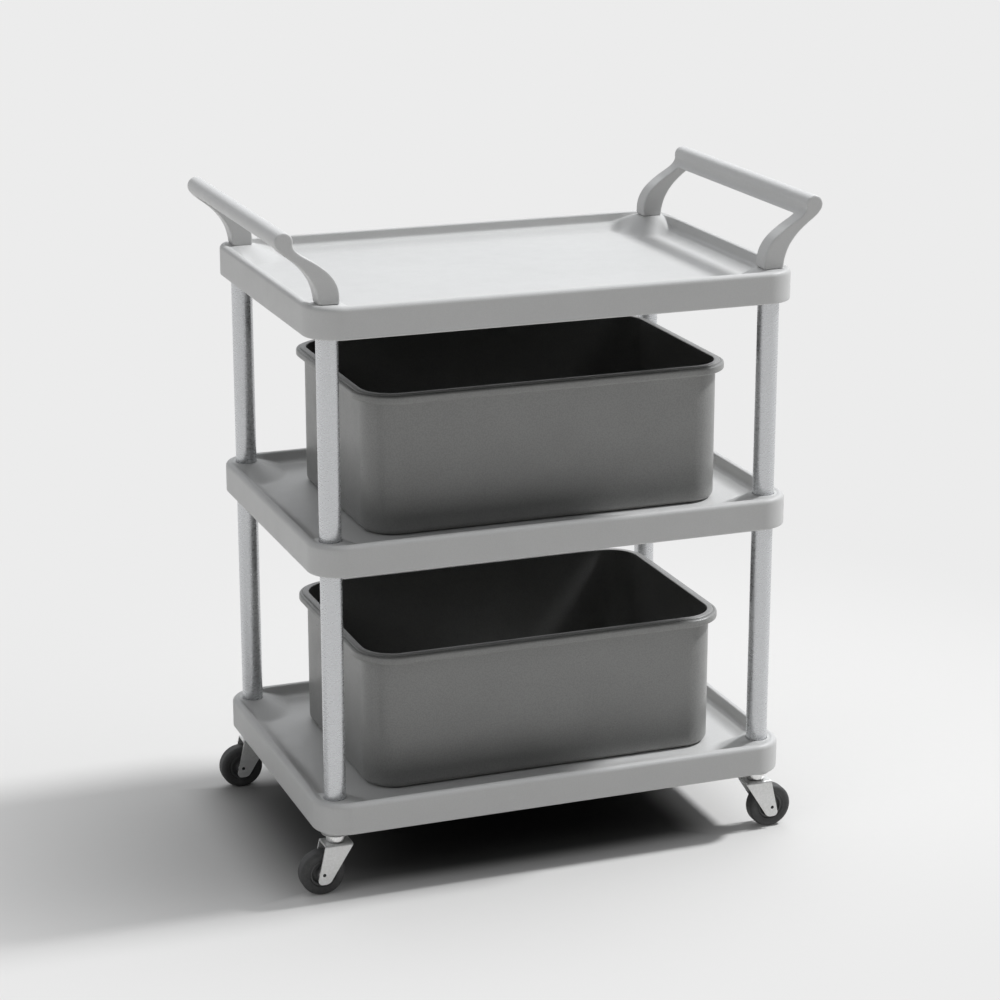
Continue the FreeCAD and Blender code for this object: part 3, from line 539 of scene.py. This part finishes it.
def tube_metal(name, base, rough):
    """Drawn aluminium tube, lightly sanded round its axis, with a dull patchy oxide."""
    n = Surface(name, base)
    ring = n.noise(n.coords(scale=(70, 70, 420)), detail=4.0, rough=0.62, distortion=0.4)
    hair = n.noise(n.coords(scale=(160, 160, 1900)), rough=0.6)
    patch = n.noise(n.coords(scale=(110, 110, 190)), detail=3.0, rough=0.6, distortion=0.6)
    broad = n.noise(n.coords(scale=(26, 26, 12)))
    speck = n.cells(n.coords(scale=(520, 520, 700)))
    c = n.drift(n.ramp(patch, over=(0.32, 0.68)), tones=(0.955, 1.03))
    c = n.layer(c, n.ramp(ring, over=(0.5, 0.75)), amount=0.22, tone=1.12)
    c = n.layer(c, n.ramp(speck, over=(0.5, 0.62)), amount=0.07, tone=0.80)
    r = n.math("ADD", n.ramp(patch, over=(0.3, 0.7), to=(rough - 0.05, rough + 0.07)),
               n.ramp(hair, over=(0.3, 0.7), to=(-0.05, 0.05)))
    r = n.math("ADD", r, n.ramp(broad, over=(0.3, 0.7), to=(-0.02, 0.03)))
    normal = n.bump(hair, strength=0.16, distance=0.00004)
    normal = n.bump(ring, strength=0.10, distance=0.00010, normal=normal)
    normal = n.bump(patch, strength=0.08, distance=0.00020, normal=normal)
    return n.principled(c, r, normal, {"Metallic": 0.7, "Specular IOR Level": 0.5,
                                       "Anisotropic": 0.25})


def metal(name, base, rough=0.28, brush=700.0, depth=0.00005, stain=0.2, metallic=1.0):
    """Brushed metal with stains, fine pits and bright edges."""
    n = Surface(name, base)
    p = n.coords()
    hair = n.noise(n.coords(scale=(brush * 0.2, brush * 0.2, brush * 2)), detail=3.0, rough=0.6)
    patch = n.noise(p, scale=160.0, detail=3.0, rough=0.6)
    pit = n.cells(p, scale=900.0)
    c = n.drift(n.ramp(patch, over=(0.35, 0.7)), tones=(1.0 - stain, 1.06))
    c = n.layer(c, n.ramp(pit, over=(0.5, 0.65)), amount=0.25, tone=0.7)
    c = n.layer(c, n.edge(), amount=0.35, tone=1.3)
    r = n.math("ADD", n.ramp(patch, over=(0.3, 0.7), to=(rough - 0.06, rough + 0.08)),
               n.ramp(hair, over=(0.3, 0.7), to=(-0.04, 0.04)))
    normal = n.bump(hair, strength=0.4, distance=depth)
    normal = n.bump(patch, strength=0.2, distance=depth * 4, normal=normal)
    return n.principled(c, r, normal, {"Metallic": metallic})


def paint(name, base, rough=0.38):
    """Coated pressed steel: slight orange peel, fine specks, brighter worn edges."""
    n = Surface(name, base)
    p = n.coords()
    peel = n.noise(p, scale=420.0)
    fine = n.noise(p, scale=1300.0, rough=0.6)
    cloud = n.noise(p, scale=55.0, detail=3.0, rough=0.55)
    chip = n.noise(p, scale=260.0, detail=3.0, rough=0.7)
    c = n.drift(n.ramp(cloud, over=(0.3, 0.7)), tones=(0.97, 1.03))
    c = n.layer(c, n.ramp(fine, over=(0.6, 0.72)), amount=0.15, tone=0.8)
    e = n.math("MULTIPLY", n.edge(over=(0.53, 0.66)), n.ramp(chip, over=(0.45, 0.6)))
    c = n.layer(c, e, amount=0.5, tone=1.45)
    c = n.layer(c, n.ramp(chip, over=(0.64, 0.76)), amount=0.2, tone=0.7)
    r = n.ramp(peel, over=(0.3, 0.7), to=(rough - 0.05, rough + 0.07))
    normal = n.bump(peel, strength=0.25, distance=0.00020)
    normal = n.bump(fine, strength=0.25, distance=0.00005, normal=normal)
    return n.principled(c, r, normal, {"Specular IOR Level": 0.5, "Metallic": 0.45,
                                       "Coat Weight": 0.1, "Coat Roughness": 0.3})


def rubber(name, base, rough=0.62):
    """Dusty rubber, blotched and paler along its edges."""
    n = Surface(name, base)
    p = n.coords()
    fine = n.noise(p, scale=1500.0, detail=3.0, rough=0.65)
    blotch = n.noise(p, scale=130.0, detail=4.0, rough=0.62)
    dust = n.noise(p, scale=420.0, detail=4.0, rough=0.7)
    c = n.drift(n.ramp(blotch, over=(0.3, 0.72)), tones=(0.82, 1.22))
    c = n.layer(c, n.ramp(dust, over=(0.56, 0.75)), amount=0.30, tone=2.1)
    e = n.math("MULTIPLY", n.edge(over=(0.51, 0.6)), n.ramp(blotch, over=(0.35, 0.6)))
    c = n.layer(c, e, amount=0.35, tone=1.9)
    r = n.ramp(blotch, over=(0.3, 0.7), to=(rough - 0.07, rough + 0.08))
    normal = n.bump(fine, strength=0.5, distance=0.00012)
    normal = n.bump(dust, strength=0.25, distance=0.00025, normal=normal)
    return n.principled(c, r, normal, {"Specular IOR Level": 0.4})


def grey(value, red=1.0, blue=1.0):
    return (value * red, value, value * blue)


RECIPES = {
    "shelf_plastic": (moulded, dict(base=grey(0.585, blue=0.988), rough=0.47, spec=0.42,
                                    mottle=0.018, fleck=0.035, scuff=0.16)),
    "handle_plastic": (moulded, dict(base=grey(0.62, blue=0.99), rough=0.44, spec=0.42,
                                     mottle=0.015, fleck=0.035, scuff=0.14)),
    "post_aluminium": (tube_metal, dict(base=grey(0.66, red=0.985, blue=1.018), rough=0.28)),
    "dark_plastic_fixing": (moulded, dict(base=grey(0.02), rough=0.5)),
    "zinc_steel": (metal, dict(base=grey(0.86, blue=0.99), rough=0.30, stain=0.12)),
    "brass_insert": (metal, dict(base=(0.62, 0.45, 0.2), rough=0.3)),
    "fork_paint": (paint, dict(base=grey(0.80, blue=0.985))),
    "ball_steel": (metal, dict(base=grey(0.7), rough=0.12)),
    "dark_steel": (metal, dict(base=grey(0.035), rough=0.42, metallic=0.6)),
    "wheel_plastic": (moulded, dict(base=grey(0.10), rough=0.5, grain=1300.0, fleck=0.12,
                                    wear=0.5)),
    "tyre_rubber": (rubber, dict(base=grey(0.072))),
    "tub_plastic": (moulded, dict(base=grey(0.305, blue=0.975), rough=0.34, grain=620.0,
                                  depth=0.00016, fleck=0.12, mottle=0.045, wear=0.6,
                                  scuff=0.2, spec=0.5)),
}
MATERIALS = {name: make(name, **values) for name, (make, values) in RECIPES.items()}

# --------------------------------------------------------------------------
# carried-over CAD nodes: the record's slot picks the finish, or else the name does
# --------------------------------------------------------------------------
# part of a node's name, slot; the first match counts
SLOT_BY_NAME = (
    ("shelf", "shelf_plastic"), ("upper_post", "post_aluminium"),
    ("lower_post", "post_aluminium"), ("plugs", "dark_plastic_fixing"),
    ("studs", "zinc_steel"), ("handle_thread", "brass_insert"), ("handle", "shelf_plastic"),
    ("sockets", "shelf_plastic"), ("stems", "zinc_steel"), ("cups", "zinc_steel"),
    ("fork", "fork_paint"), ("balls", "ball_steel"), ("axle_pin", "dark_steel"),
    ("washers", "zinc_steel"), ("bushing", "dark_plastic_fixing"),
    ("wheel_centre", "wheel_plastic"), ("tyre", "tyre_rubber"), ("tub", "tub_plastic"))


def finish_cad_nodes():
    recorded = {}
    for part in frame["record"].get("subparts", []):
        for key in ("material_slot", "slot", "material"):
            if isinstance(part.get(key), str):
                recorded[part.get("name") or part.get("node")] = part[key]
    for name, ob in nodes.items():
        slot = recorded.get(name)
        if slot not in MATERIALS:
            slot = next((s for key, s in SLOT_BY_NAME if key in name), "shelf_plastic")
        coat(ob, MATERIALS[slot])


finish_cad_nodes()

# --------------------------------------------------------------------------
# shelves
# --------------------------------------------------------------------------
# section of tray and rim: (inset from the outer edge, height from the rim)
SHELF_SECTION = [
    (112, -23), (104, -23), (97, -23), (90, -23), (84, -23), (79, -23), (74, -23), (70, -23),
    (66, -23), (62, -23), (58.5, -23), (55.5, -23), (52.5, -23), (49.5, -23), (47, -23),
    (44.5, -23), (42, -22.98), (40, -22.92), (38, -22.75), (36, -22.4), (34, -21.85),
    (32, -21.1), (30, -20.15), (28, -19.05), (26.4, -18.05), (24.8, -17.05), (23.4, -16.35),
    (22, -15.85), (20.4, -15.5), (18.6, -15.25), (17.2, -15.0), (16.0, -14.65),
    (15.0, -14.15), (14.2, -13.45), (13.6, -12.6), (13.2, -11.6), (12.9, -10.3),
    (12.65, -8.8), (12.4, -7.2), (12.1, -5.4), (11.85, -4.0),
    *arc(8.7, -3.0, 3.0, 0, 90, 7),
    *arc(6.5, -6.5, 6.5, 90, 180, 10),
    (0.0, -12.0), (0.0, -20.0), (0.0, -29.0), (0.0, -37.0),
    *arc(2.2, -SKIRT + 2.2, 2.2, 180, 270, 5),
    *arc(3.0, -SKIRT + 0.8, 0.8, 270, 360, 3),
    (3.8, -38.0), (3.9, -31.0), (4.3, -29.0), (5.4, -27.6), (7.0, -DECK_UNDERSIDE),
    (20.0, -DECK_UNDERSIDE), (60.0, -DECK_UNDERSIDE)]
PAD_FLAT, PAD_REACH = 18.0, 57.0    # distance from the post: pad level, slope ends
PAD_BEND = 0.09                     # rounding of the slope's ends, as a share of it
PAD_INSET = 7.9                     # the pads start this far in from the outer edge
RIB_PITCH, RIB_HALF, RIB_DEPTH = 120.0, 1.5, 12.0
OVERLAP = 1.3                       # ribs and bosses run this far into the deck


def soft_clip(t, e):
    """Straight from 0 to 1, with both bends rounded over a half width e."""
    def soft_floor(s):
        return np.where(s < -e, 0.0, np.where(s < e, (s + e) ** 2 / (4 * e), s))
    return 1.0 - soft_floor(1.0 - soft_floor(t))


def shelf_skin(rim):
    rings = []
    for inset, z in SHELF_SECTION:
        p = outline(SHELF_X, SHELF_Y, SHELF_CORNER, inset)
        height = np.full(len(p), float(z))
        if z > 0.1 - DECK_UNDERSIDE and inset > PAD_INSET:
            # the upper surface is brought to the level pad near each post
            reach = np.min([np.hypot(p[:, 0] - sx * POST_X, p[:, 1] - sy * POST_Y)
                            for _, sx, sy in CORNERS], axis=0)
            w = soft_clip((PAD_REACH - reach) / (PAD_REACH - PAD_FLAT), PAD_BEND)
            if z < -PAD_DROP:
                height = z * (1 - w) + -PAD_DROP * w
            else:
                height = z + (-PAD_DROP - z) * w * min(1.0, (inset - PAD_INSET) / 2.0)
        rings.append(np.column_stack([p, rim + height]))
    return skin(rings)


def shelf(node, rim, seat_up, seat_down, square):
    """A shelf; seat_up and seat_down are the top and foot of the web in each corner."""
    ob = loose(node + "_moulding", shelf_skin(rim))
    under, base, pad = rim - DECK_UNDERSIDE, rim - SKIRT, rim - PAD_DROP
    # ribs and corner bosses under the deck
    ribs = grid_ribs([RIB_PITCH * i for i in (-2, -1, 0, 1, 2)],
                     [RIB_PITCH * i for i in (-1, 0, 1)], RIB_HALF,
                     SHELF_X - 1.9, SHELF_Y - 1.9, under - RIB_DEPTH, under + OVERLAP)
    boss = lathe([(0.0, base), (BOSS_R - 0.8, base), (BOSS_R - 0.2, base + 0.25),
                  (BOSS_R, base + 0.9), (BOSS_R, under + OVERLAP), (0.0, under + OVERLAP)], 72)
    boolean(ob, [ribs] + at_corners(boss), "UNION")
    # the upper opening, the web bore and the lower seat as one turned tool
    if square:
        profile = [(0.0, seat_up + 1.0), (WEB_BORE, seat_up + 1.0)]
    else:
        profile = [(0.0, pad + 4.0), (16.3, pad + 4.0), (16.3, pad + 0.25), (15.5, pad - 0.65),
                   (SEAT_R, pad - 1.3), (SEAT_R, seat_up), (WEB_BORE, seat_up)]
    profile += [(WEB_BORE, seat_down), (SEAT_R, seat_down), (SEAT_R, base + 0.6),
                (15.9, base - 0.2), (15.9, base - 4.0), (0.0, base - 4.0)]
    boolean(ob, at_corners(lathe(profile)), "DIFFERENCE")
    if square:
        # square pockets above the web, then a level land round each
        boolean(ob, at_corners(block(10.6, 10.6, seat_up, pad + 5.0)), "DIFFERENCE")
        boolean(ob, at_corners(block(14.65, 15.4, pad - 0.02, pad + 6.0)), "DIFFERENCE")
    tidy(ob, scale=MM, merge=0.002)
    adopt(ob, "frame", "shelf_plastic", node)


shelf("top_shelf", TOP_RIM, UPPER_TOP + WEB, UPPER_TOP, square=True)
shelf("middle_shelf", MIDDLE_RIM, UPPER_FOOT, LOWER_TOP, square=False)
shelf("bottom_shelf", BOTTOM_RIM, LOWER_FOOT, LOWER_FOOT - WEB, square=False)


# --------------------------------------------------------------------------
# posts: fine tubes with broken ends
# --------------------------------------------------------------------------
def posts(level, z0, z1):
    profile = [(13.75, z0), (14.65, z0), (POST_R, z0 + 0.4)]
    profile += [(POST_R, z0 + 0.4 + (z1 - z0 - 0.8) * k / 24) for k in range(1, 24)]
    profile += [(POST_R, z1 - 0.4), (14.65, z1), (13.75, z1),
                (POST_BORE, z1 - 0.35), (POST_BORE, z0 + 0.35)]
    for (corner, _, _), tube in zip(CORNERS, at_corners(lathe(profile, 128))):
        finish_mesh(f"{level}_tube_{corner}", tube, "frame", "post_aluminium",
                    f"{level}_post_{corner}", sharp=40.0)


posts("upper", UPPER_FOOT, UPPER_TOP)
posts("lower", LOWER_FOOT, LOWER_TOP)


# --------------------------------------------------------------------------
# handles: the CAD form remeshed, so that arm and grip flow into one moulding
# --------------------------------------------------------------------------
def handle(node):
    ob = link_object(node + "_moulding", nodes[node].data.copy())
    ob.data.materials.clear()
    tidy(ob, merge=0.000001)
    modifier(ob, "voxels", "REMESH", mode="VOXEL",
             voxel_size=0.0009, adaptivity=0.0)
    bake(ob)
    modifier(ob, "smooth", "SMOOTH", factor=0.5, iterations=3)
    bake(ob)
    for face in ob.data.polygons:
        face.use_smooth = True
    adopt(ob, "frame", "shelf_plastic", node, finish="handle_plastic")


handle("left_handle")
handle("right_handle")

# --------------------------------------------------------------------------
# tubs
# --------------------------------------------------------------------------
TUB_RIM_OUT = 12.0      # how far the rim stands out from the wall
TUB_WALL, TUB_FLOOR = 2.6, 3.0
TUB_CORNER = 47.5
FOOT_R, INNER_R = 10.0, 9.0     # roundings at the foot, outside and inside
WALL_BOW = 0.55

# fillet, band, shoulder, groove and mouth bead: (outward from the wall, drop from the top)
TUB_RIM = [
    (0.15, 15.4), (0.7, 14.1), (1.7, 13.2), (3.2, 12.7), (6.0, 12.6), (9.2, 12.6),
    (10.6, 12.35), (11.5, 11.7), (11.92, 10.8), (12.0, 9.5), (12.0, 7.5), (12.0, 5.6),
    (11.9, 4.4), (11.5, 3.4), (10.7, 2.55), (9.6, 2.1), (8.4, 2.05), (7.6, 2.25),
    (7.1, 2.5), (6.75, 2.35), (6.55, 1.9), (6.35, 1.2), (5.9, 0.6), (5.1, 0.2),
    (3.9, 0.03), (2.3, 0.0), (0.6, 0.0), (-0.9, 0.01), (-1.7, 0.08), (-2.2, 0.33),
    (-2.5, 0.8), (-2.6, 1.5), (-2.6, 3.2), (-2.6, 8.0), (-2.6, 20.0)]


def tub_section(height):
    """From under the foot up the outside, over the rim and down inside: (outward, z)."""
    section = [(-70, 0.25), (-50, 0.1), (-34, 0.0), (-22, 0.0), (-15, 0.0)]
    for a in map(math.radians, (8, 16, 25, 34, 43, 52, 61, 70, 80, 90)):
        section.append((-FOOT_R + FOOT_R * math.sin(a), FOOT_R - FOOT_R * math.cos(a)))
    section += [(0.0, FOOT_R + (height - 27.0) * k / 12) for k in range(1, 13)]
    section += [(out, height - drop) for out, drop in TUB_RIM]
    bend = TUB_FLOOR + INNER_R
    section += [(-TUB_WALL, bend + (height - 34.0) * (1 - k / 8)) for k in range(1, 9)]
    for a in map(math.radians, (12, 25, 38, 51, 64, 77, 90)):
        section.append((-TUB_WALL - INNER_R * (1 - math.cos(a)), bend - INNER_R * math.sin(a)))
    return section + [(-22, TUB_FLOOR), (-34, TUB_FLOOR), (-50, TUB_FLOOR + 0.1),
                      (-70, TUB_FLOOR + 0.25)]


def tub(node):
    cx, cy, _ = centre_of(node)
    half_x, half_y = (h - TUB_RIM_OUT for h in half_size(node)[:2])
    foot = foot_of(node)
    height = top_of(node) - foot
    rings = []
    for out, z in tub_section(height):
        p = outline(half_x, half_y, TUB_CORNER, -out, seg=28, sharpest=4.0, dense=24.0,
                    step=8.0, coarse=26.0)
        if 12.0 < z < height - 16.0:
            # the long front and rear walls bow in a hair between their corners
            bow = WALL_BOW * math.sin(math.pi * (z - 12.0) / (height - 28.0))
            k = np.cos(np.clip(p[:, 0] / half_x, -1, 1) * math.pi / 2) ** 2
            on_wall = np.abs(p[:, 1]) > half_y - 8
            p[:, 1] -= np.where(on_wall, np.sign(p[:, 1]) * bow * k, 0.0)
        rings.append(np.column_stack([p[:, 0] + cx, p[:, 1] + cy, np.full(len(p), foot + z)]))
    finish_mesh(node + "_moulding", skin(rings), node, "tub_plastic", node, sharp=38.0)


tub("middle_tub")
tub("lower_tub")


# --------------------------------------------------------------------------
# casters
# --------------------------------------------------------------------------
def collars():
    """Collars under the bottom shelf, with a groove near the foot and a spigot above."""
    foot, base = foot_of("caster_sockets"), BOTTOM_RIM - SKIRT
    web_foot = LOWER_FOOT - WEB
    profile = [(WEB_BORE, foot + 0.4), (5.5, foot), (18.4, foot),
               *arc(19.2, foot + 1.25, 1.25, 270, 360, 6),
               (20.45, foot + 1.6), (20.3, foot + 1.75), (19.5, foot + 1.8),
               (19.5, foot + 2.45), (20.35, foot + 2.55), (BOSS_R, foot + 2.75),
               (BOSS_R, base - 1.0), (20.4, base - 0.25), (20.0, base), (POST_R, base),
               (POST_R, web_foot - 1.0), (14.0, web_foot), (5.6, web_foot),
               (WEB_BORE, web_foot - 0.6)]
    finish_mesh("caster_collars", joined(at_corners(lathe(profile))), "frame",
                "shelf_plastic", "caster_sockets", sharp=36.0)


def race_cups():
    z, cup_top = foot_of("swivel_cups"), top_of("swivel_cups")
    profile = [(3.95, z), (4.8, z), (4.8, z + 2.6), (8.4, z + 2.6), (8.4, z), (11.2, z),
               (11.75, z + 0.2),
               *smooth_profile([(12.3, z + 0.7), (12.8, z + 1.7), (13.25, z + 3.4),
                                (13.55, z + 5.3)], step=0.4),
               (13.6, z + 6.4), (13.6, cup_top - 0.4), (13.2, cup_top), (3.95, cup_top)]
    finish_mesh("upper_race_cups", joined(at_corners(lathe(profile))), "frame",
                "zinc_steel", "swivel_cups", sharp=36.0)


def wheel_part(half_profile, seg, at):
    """Turns (radius, offset) pairs and their mirror about an axle along Y."""
    mirror = [(r, -y) for r, y in reversed(half_profile)]
    verts, faces = lathe(half_profile + mirror, seg)
    verts = np.column_stack([verts[:, 0], verts[:, 2], -verts[:, 1]]) + np.array(at)
    return verts, [tuple(reversed(face)) for face in faces]


def tyre_profile(node):
    """Side wall dished to a step at the centre, round shoulder, crowned tread."""
    _, half, radius = half_size(node)
    shoulder = 5.5
    profile = [(18.3, 8.6), (18.9, 8.75), (19.25, 9.1), (19.6, 9.65), (20.3, 9.95),
               (21.2, 10.1), (22.6, 10.35), (24.0, 10.68), (25.2, half)]
    for a in map(math.radians, range(0, 81, 10)):
        profile.append((radius - shoulder + shoulder * math.sin(a),
                        half - shoulder + shoulder * math.cos(a)))
    return profile + [(radius - 0.02, half - 5.9), (radius, 3.6), (radius, 1.2)]


def hub_profile(node):
    """Hub, dished web and outer ring of the wheel centre."""
    hub = half_size(node)[1]
    return [(5.0, hub - 0.3), (5.3, hub), (7.9, hub), (8.4, hub - 0.3), (8.6, hub - 0.9),
            (8.95, 7.0), (9.3, 5.2), (9.9, 4.3), (10.9, 4.0), (13.2, 4.0), (14.1, 4.25),
            (14.7, 5.0), (15.05, 6.4), (15.3, 7.7), (15.6, 8.25), (16.1, 8.5), (17.7, 8.5),
            (18.1, 8.35), (18.3, 8.0)]


def wheel(corner):
    tyre, hub, body = "tyre_" + corner, "wheel_centre_" + corner, "wheel_" + corner
    at = centre_of(tyre)
    finish_mesh("tyre_moulding_" + corner, wheel_part(tyre_profile(tyre), 144, at),
                body, "tyre_rubber", tyre, sharp=40.0)
    finish_mesh("wheel_centre_moulding_" + corner, wheel_part(hub_profile(hub), 120, at),
                body, "wheel_plastic", hub, sharp=36.0)


collars()
race_cups()
for corner, _, _ in CORNERS:
    wheel(corner)

# broken edges on the CAD pieces that still show
for name, ob in nodes.items():
    if not ob.hide_render:
        modifier(ob, "edges", "BEVEL", width=0.00045 if "fork" in name else 0.00015,
                 segments=3, limit_method="ANGLE", angle_limit=math.radians(40),
                 harden_normals=False, use_clamp_overlap=True)

# --------------------------------------------------------------------------
# floor
# --------------------------------------------------------------------------
BACKDROP = ((236 / 255.0 + 0.055) / 1.055) ** 2.4   # sRGB level 236, made linear
BACKDROP_COLOUR = (BACKDROP, BACKDROP, BACKDROP, 1)
FLOOR_FADE = (0.35, 1.5)    # distances over which the floor turns into backdrop, in metres
FRONT_STRETCH = 0.9         # extra share of distance counted in front
FLOOR_ALBEDO = 0.73
FLOOR_BOUNCE = 1.0          # share of its light the floor gives to diffuse rays
FLOOR_TINT = (1.014, 1.003, 0.984)
PAINTED_CONTACT_SHADOW = 0.24        # painted contact shadow: albedo share right under the bottom shelf


def floor_material():
    n = Surface("floor")
    geometry = n.new("ShaderNodeNewGeometry")
    place = n.new("ShaderNodeSeparateXYZ")
    n.put(place.inputs[0], geometry.outputs["Position"])
    x, y = place.outputs[0], place.outputs[1]
    x_squared = n.math("MULTIPLY", x, x)
    ahead = n.math("ADD", y, n.math("MULTIPLY", n.math("MINIMUM", y, 0.0), FRONT_STRETCH))
    y_squared = n.math("MULTIPLY", ahead, ahead)
    distance = n.math("SQRT", n.math("ADD", x_squared, y_squared))
    far = n.ramp(distance, over=FLOOR_FADE, smooth=True)
    paper = n.noise(n.coords(), scale=60.0, detail=3.0, rough=0.6)
    rays = n.new("ShaderNodeLightPath")
    albedo = n.ramp(paper, over=(0.2, 0.8), to=(FLOOR_ALBEDO * 0.994, FLOOR_ALBEDO * 1.006))
    seen = n.math("MAXIMUM", rays.outputs["Is Camera Ray"], rays.outputs["Is Glossy Ray"])
    first_bounce = n.math("LESS_THAN", rays.outputs["Diffuse Depth"], 1.5)
    given = n.math("MULTIPLY", first_bounce,
                   n.ramp(seen, over=(0.0, 1.0), to=(FLOOR_BOUNCE, 1.0)))
    # painted contact shadow: the floor's albedo is lowered in the strip right under the bottom
    # shelf, where deep contact shadow falls
    to_left, from_middle = n.math("MULTIPLY", x, -1.0), n.math("ABSOLUTE", y)
    outside_painted_shadow = n.math("MAXIMUM", n.ramp(x, over=(0.20, 0.26), smooth=True),
                      n.ramp(to_left, over=(0.29, 0.45), smooth=True))
    outside_painted_shadow = n.math("MAXIMUM", outside_painted_shadow,
                      n.ramp(from_middle, over=(0.178, 0.222), smooth=True))
    # painted shadow: the floor colour is darkened under the trolley
    albedo = n.math("MULTIPLY", albedo,
                    n.ramp(outside_painted_shadow, over=(0.0, 1.0), to=(PAINTED_CONTACT_SHADOW, 1.0)))
    share = n.math("MULTIPLY", albedo, given)
    colour = n.new("ShaderNodeCombineColor")
    for socket, k in zip(colour.inputs, FLOOR_TINT):
        n.put(socket, n.math("MULTIPLY", share, k))
    diffuse = n.new("ShaderNodeBsdfDiffuse")
    n.put(diffuse.inputs["Color"], colour.outputs[0])
    glow = n.new("ShaderNodeEmission")
    glow.inputs["Color"].default_value = BACKDROP_COLOUR
    n.put(glow.inputs["Strength"], given)
    face = n.mix_shader(far, diffuse.outputs[0], glow.outputs[0])
    # clear from below
    clear = n.new("ShaderNodeBsdfTransparent")
    both = n.mix_shader(geometry.outputs["Backfacing"], face, clear.outputs[0])
    n.put(n.out.inputs["Surface"], both)
    return n.mat


def floor():
    """A disc of rings round the origin, in metres."""
    radii, n = [0.6, 1.2, 2.5, 5.0, 12.0, 40.0], 96
    verts = [(0, 0, 0)]
    for r in radii:
        verts += [(r * math.cos(2 * math.pi * i / n), r * math.sin(2 * math.pi * i / n), 0)
                  for i in range(n)]
    faces = [(0, 1 + i, 1 + (i + 1) % n) for i in range(n)]
    for k in range(len(radii) - 1):
        a, b = 1 + k * n, 1 + (k + 1) * n
        for i in range(n):
            j = (i + 1) % n
            faces.append((a + i, b + i, b + j, a + j))
    ob = link_object("floor", raw_mesh("floor", verts, faces))
    ob.data.materials.append(floor_material())


floor()

# --------------------------------------------------------------------------
# world: a softbox overhead, soft lobes from the sides, and the pale backdrop
# that only shows as a sheen on surfaces seen at a low angle
# --------------------------------------------------------------------------
OVERHEAD, OVERHEAD_FOCUS = 0.2, 5.0
SHEEN = 0.85
SKY_COLOUR = (0.982, 0.997, 1.018, 1)
# direction, focus, strength
LOBES = (
    ((-1.0, -0.25, 0.75), 6.0, 1.05),   # left
    ((-1.0, 0.7, 0.75), 6.0, 0.0),      # left rear, off
    ((1.0, -0.05, 0.95), 5.0, 0.8),     # right
    ((1.0, 1.0, 0.95), 5.0, 0.0),       # right rear, off
    ((1.0, -1.0, 0.95), 5.0, 0.0),      # right front, off
    ((0.3, 1.0, 0.8), 6.0, 1.65),       # rear
)


def studio_world():
    world = bpy.data.worlds.new("studio")
    scene.world = world
    n = Graph(world, "ShaderNodeOutputWorld")
    ray = n.new("ShaderNodeTexCoord").outputs["Generated"]
    parts = n.new("ShaderNodeSeparateXYZ")
    n.put(parts.inputs[0], ray)
    up = n.math("MAXIMUM", parts.outputs[2], 0.0)
    rise = n.ramp(up, over=(0.16, 0.58), smooth=True)

    def lobe(direction, focus, level):
        """A soft light in the sky round one direction."""
        dot = n.new("ShaderNodeVectorMath", operation="DOT_PRODUCT")
        n.put(dot.inputs[0], ray)
        dot.inputs[1].default_value = Vector(direction).normalized()
        facing = n.math("MAXIMUM", dot.outputs["Value"], 0.0)
        glow = n.math("MULTIPLY", n.math("POWER", facing, focus), rise)
        return n.math("MULTIPLY", glow, level)

    strength = n.math("MULTIPLY", n.math("POWER", up, OVERHEAD_FOCUS), rise)
    strength = n.math("MULTIPLY", strength, OVERHEAD)
    rays = n.new("ShaderNodeLightPath")
    behind = n.ramp(parts.outputs[1], over=(-0.35, 0.45), smooth=True)
    sheen = n.math("MULTIPLY", behind, n.math("SUBTRACT", 1.0, up))
    sheen = n.math("MULTIPLY", sheen, rays.outputs["Is Glossy Ray"])
    lights = [lobe(*row) for row in LOBES]
    lights.append(n.math("MULTIPLY", sheen, SHEEN))
    for light in lights:
        strength = n.math("ADD", strength, light)
    shown = n.new("ShaderNodeBackground")
    shown.inputs["Color"].default_value = BACKDROP_COLOUR
    lighting = n.new("ShaderNodeBackground")
    lighting.inputs["Color"].default_value = SKY_COLOUR
    n.put(lighting.inputs["Strength"], strength)
    mixed = n.mix_shader(rays.outputs["Is Camera Ray"], lighting.outputs[0], shown.outputs[0])
    n.put(n.out.inputs["Surface"], mixed)


studio_world()

# --------------------------------------------------------------------------
# key light, from the right and above, and camera, at the front left
# --------------------------------------------------------------------------
KEY_TARGET = Vector((0.0, 0.0, 0.42))
KEY_DIRECTION = Vector((0.885, -0.035, 1.0)).normalized()
KEY_DISTANCE = 10.0
CAMERA_DIP, CAMERA_HEADING = 16.642, -20.594    # degrees below level, about Z


def key_light():
    light = bpy.data.lights.new("key", "AREA")
    light.shape = "DISK"
    light.size = 1.2
    light.energy = 880.0
    light.color = (0.988, 0.998, 1.012)
    ob = link_object("key", light)
    at = KEY_TARGET + KEY_DIRECTION * KEY_DISTANCE
    ob.location = at
    ob.rotation_euler = (KEY_TARGET - at).to_track_quat("-Z", "Y").to_euler()


def add_camera():
    cam = bpy.data.cameras.new("camera")
    cam.lens = 100.0
    cam.sensor_width = 36.0
    cam.sensor_fit = "HORIZONTAL"
    cam.clip_start, cam.clip_end = 0.05, 200.0
    ob = link_object("camera", cam)
    ob.location = (-1.34859, -3.59059, 1.61843)
    ob.rotation_euler = (math.radians(90.0 - CAMERA_DIP), 0.0, math.radians(CAMERA_HEADING))
    scene.camera = ob


key_light()
add_camera()

scene.view_settings.view_transform = "Standard"
scene.view_settings.look = "None"
scene.view_settings.exposure = 0.0
scene.view_settings.gamma = 1.0

bpy.context.view_layer.update()
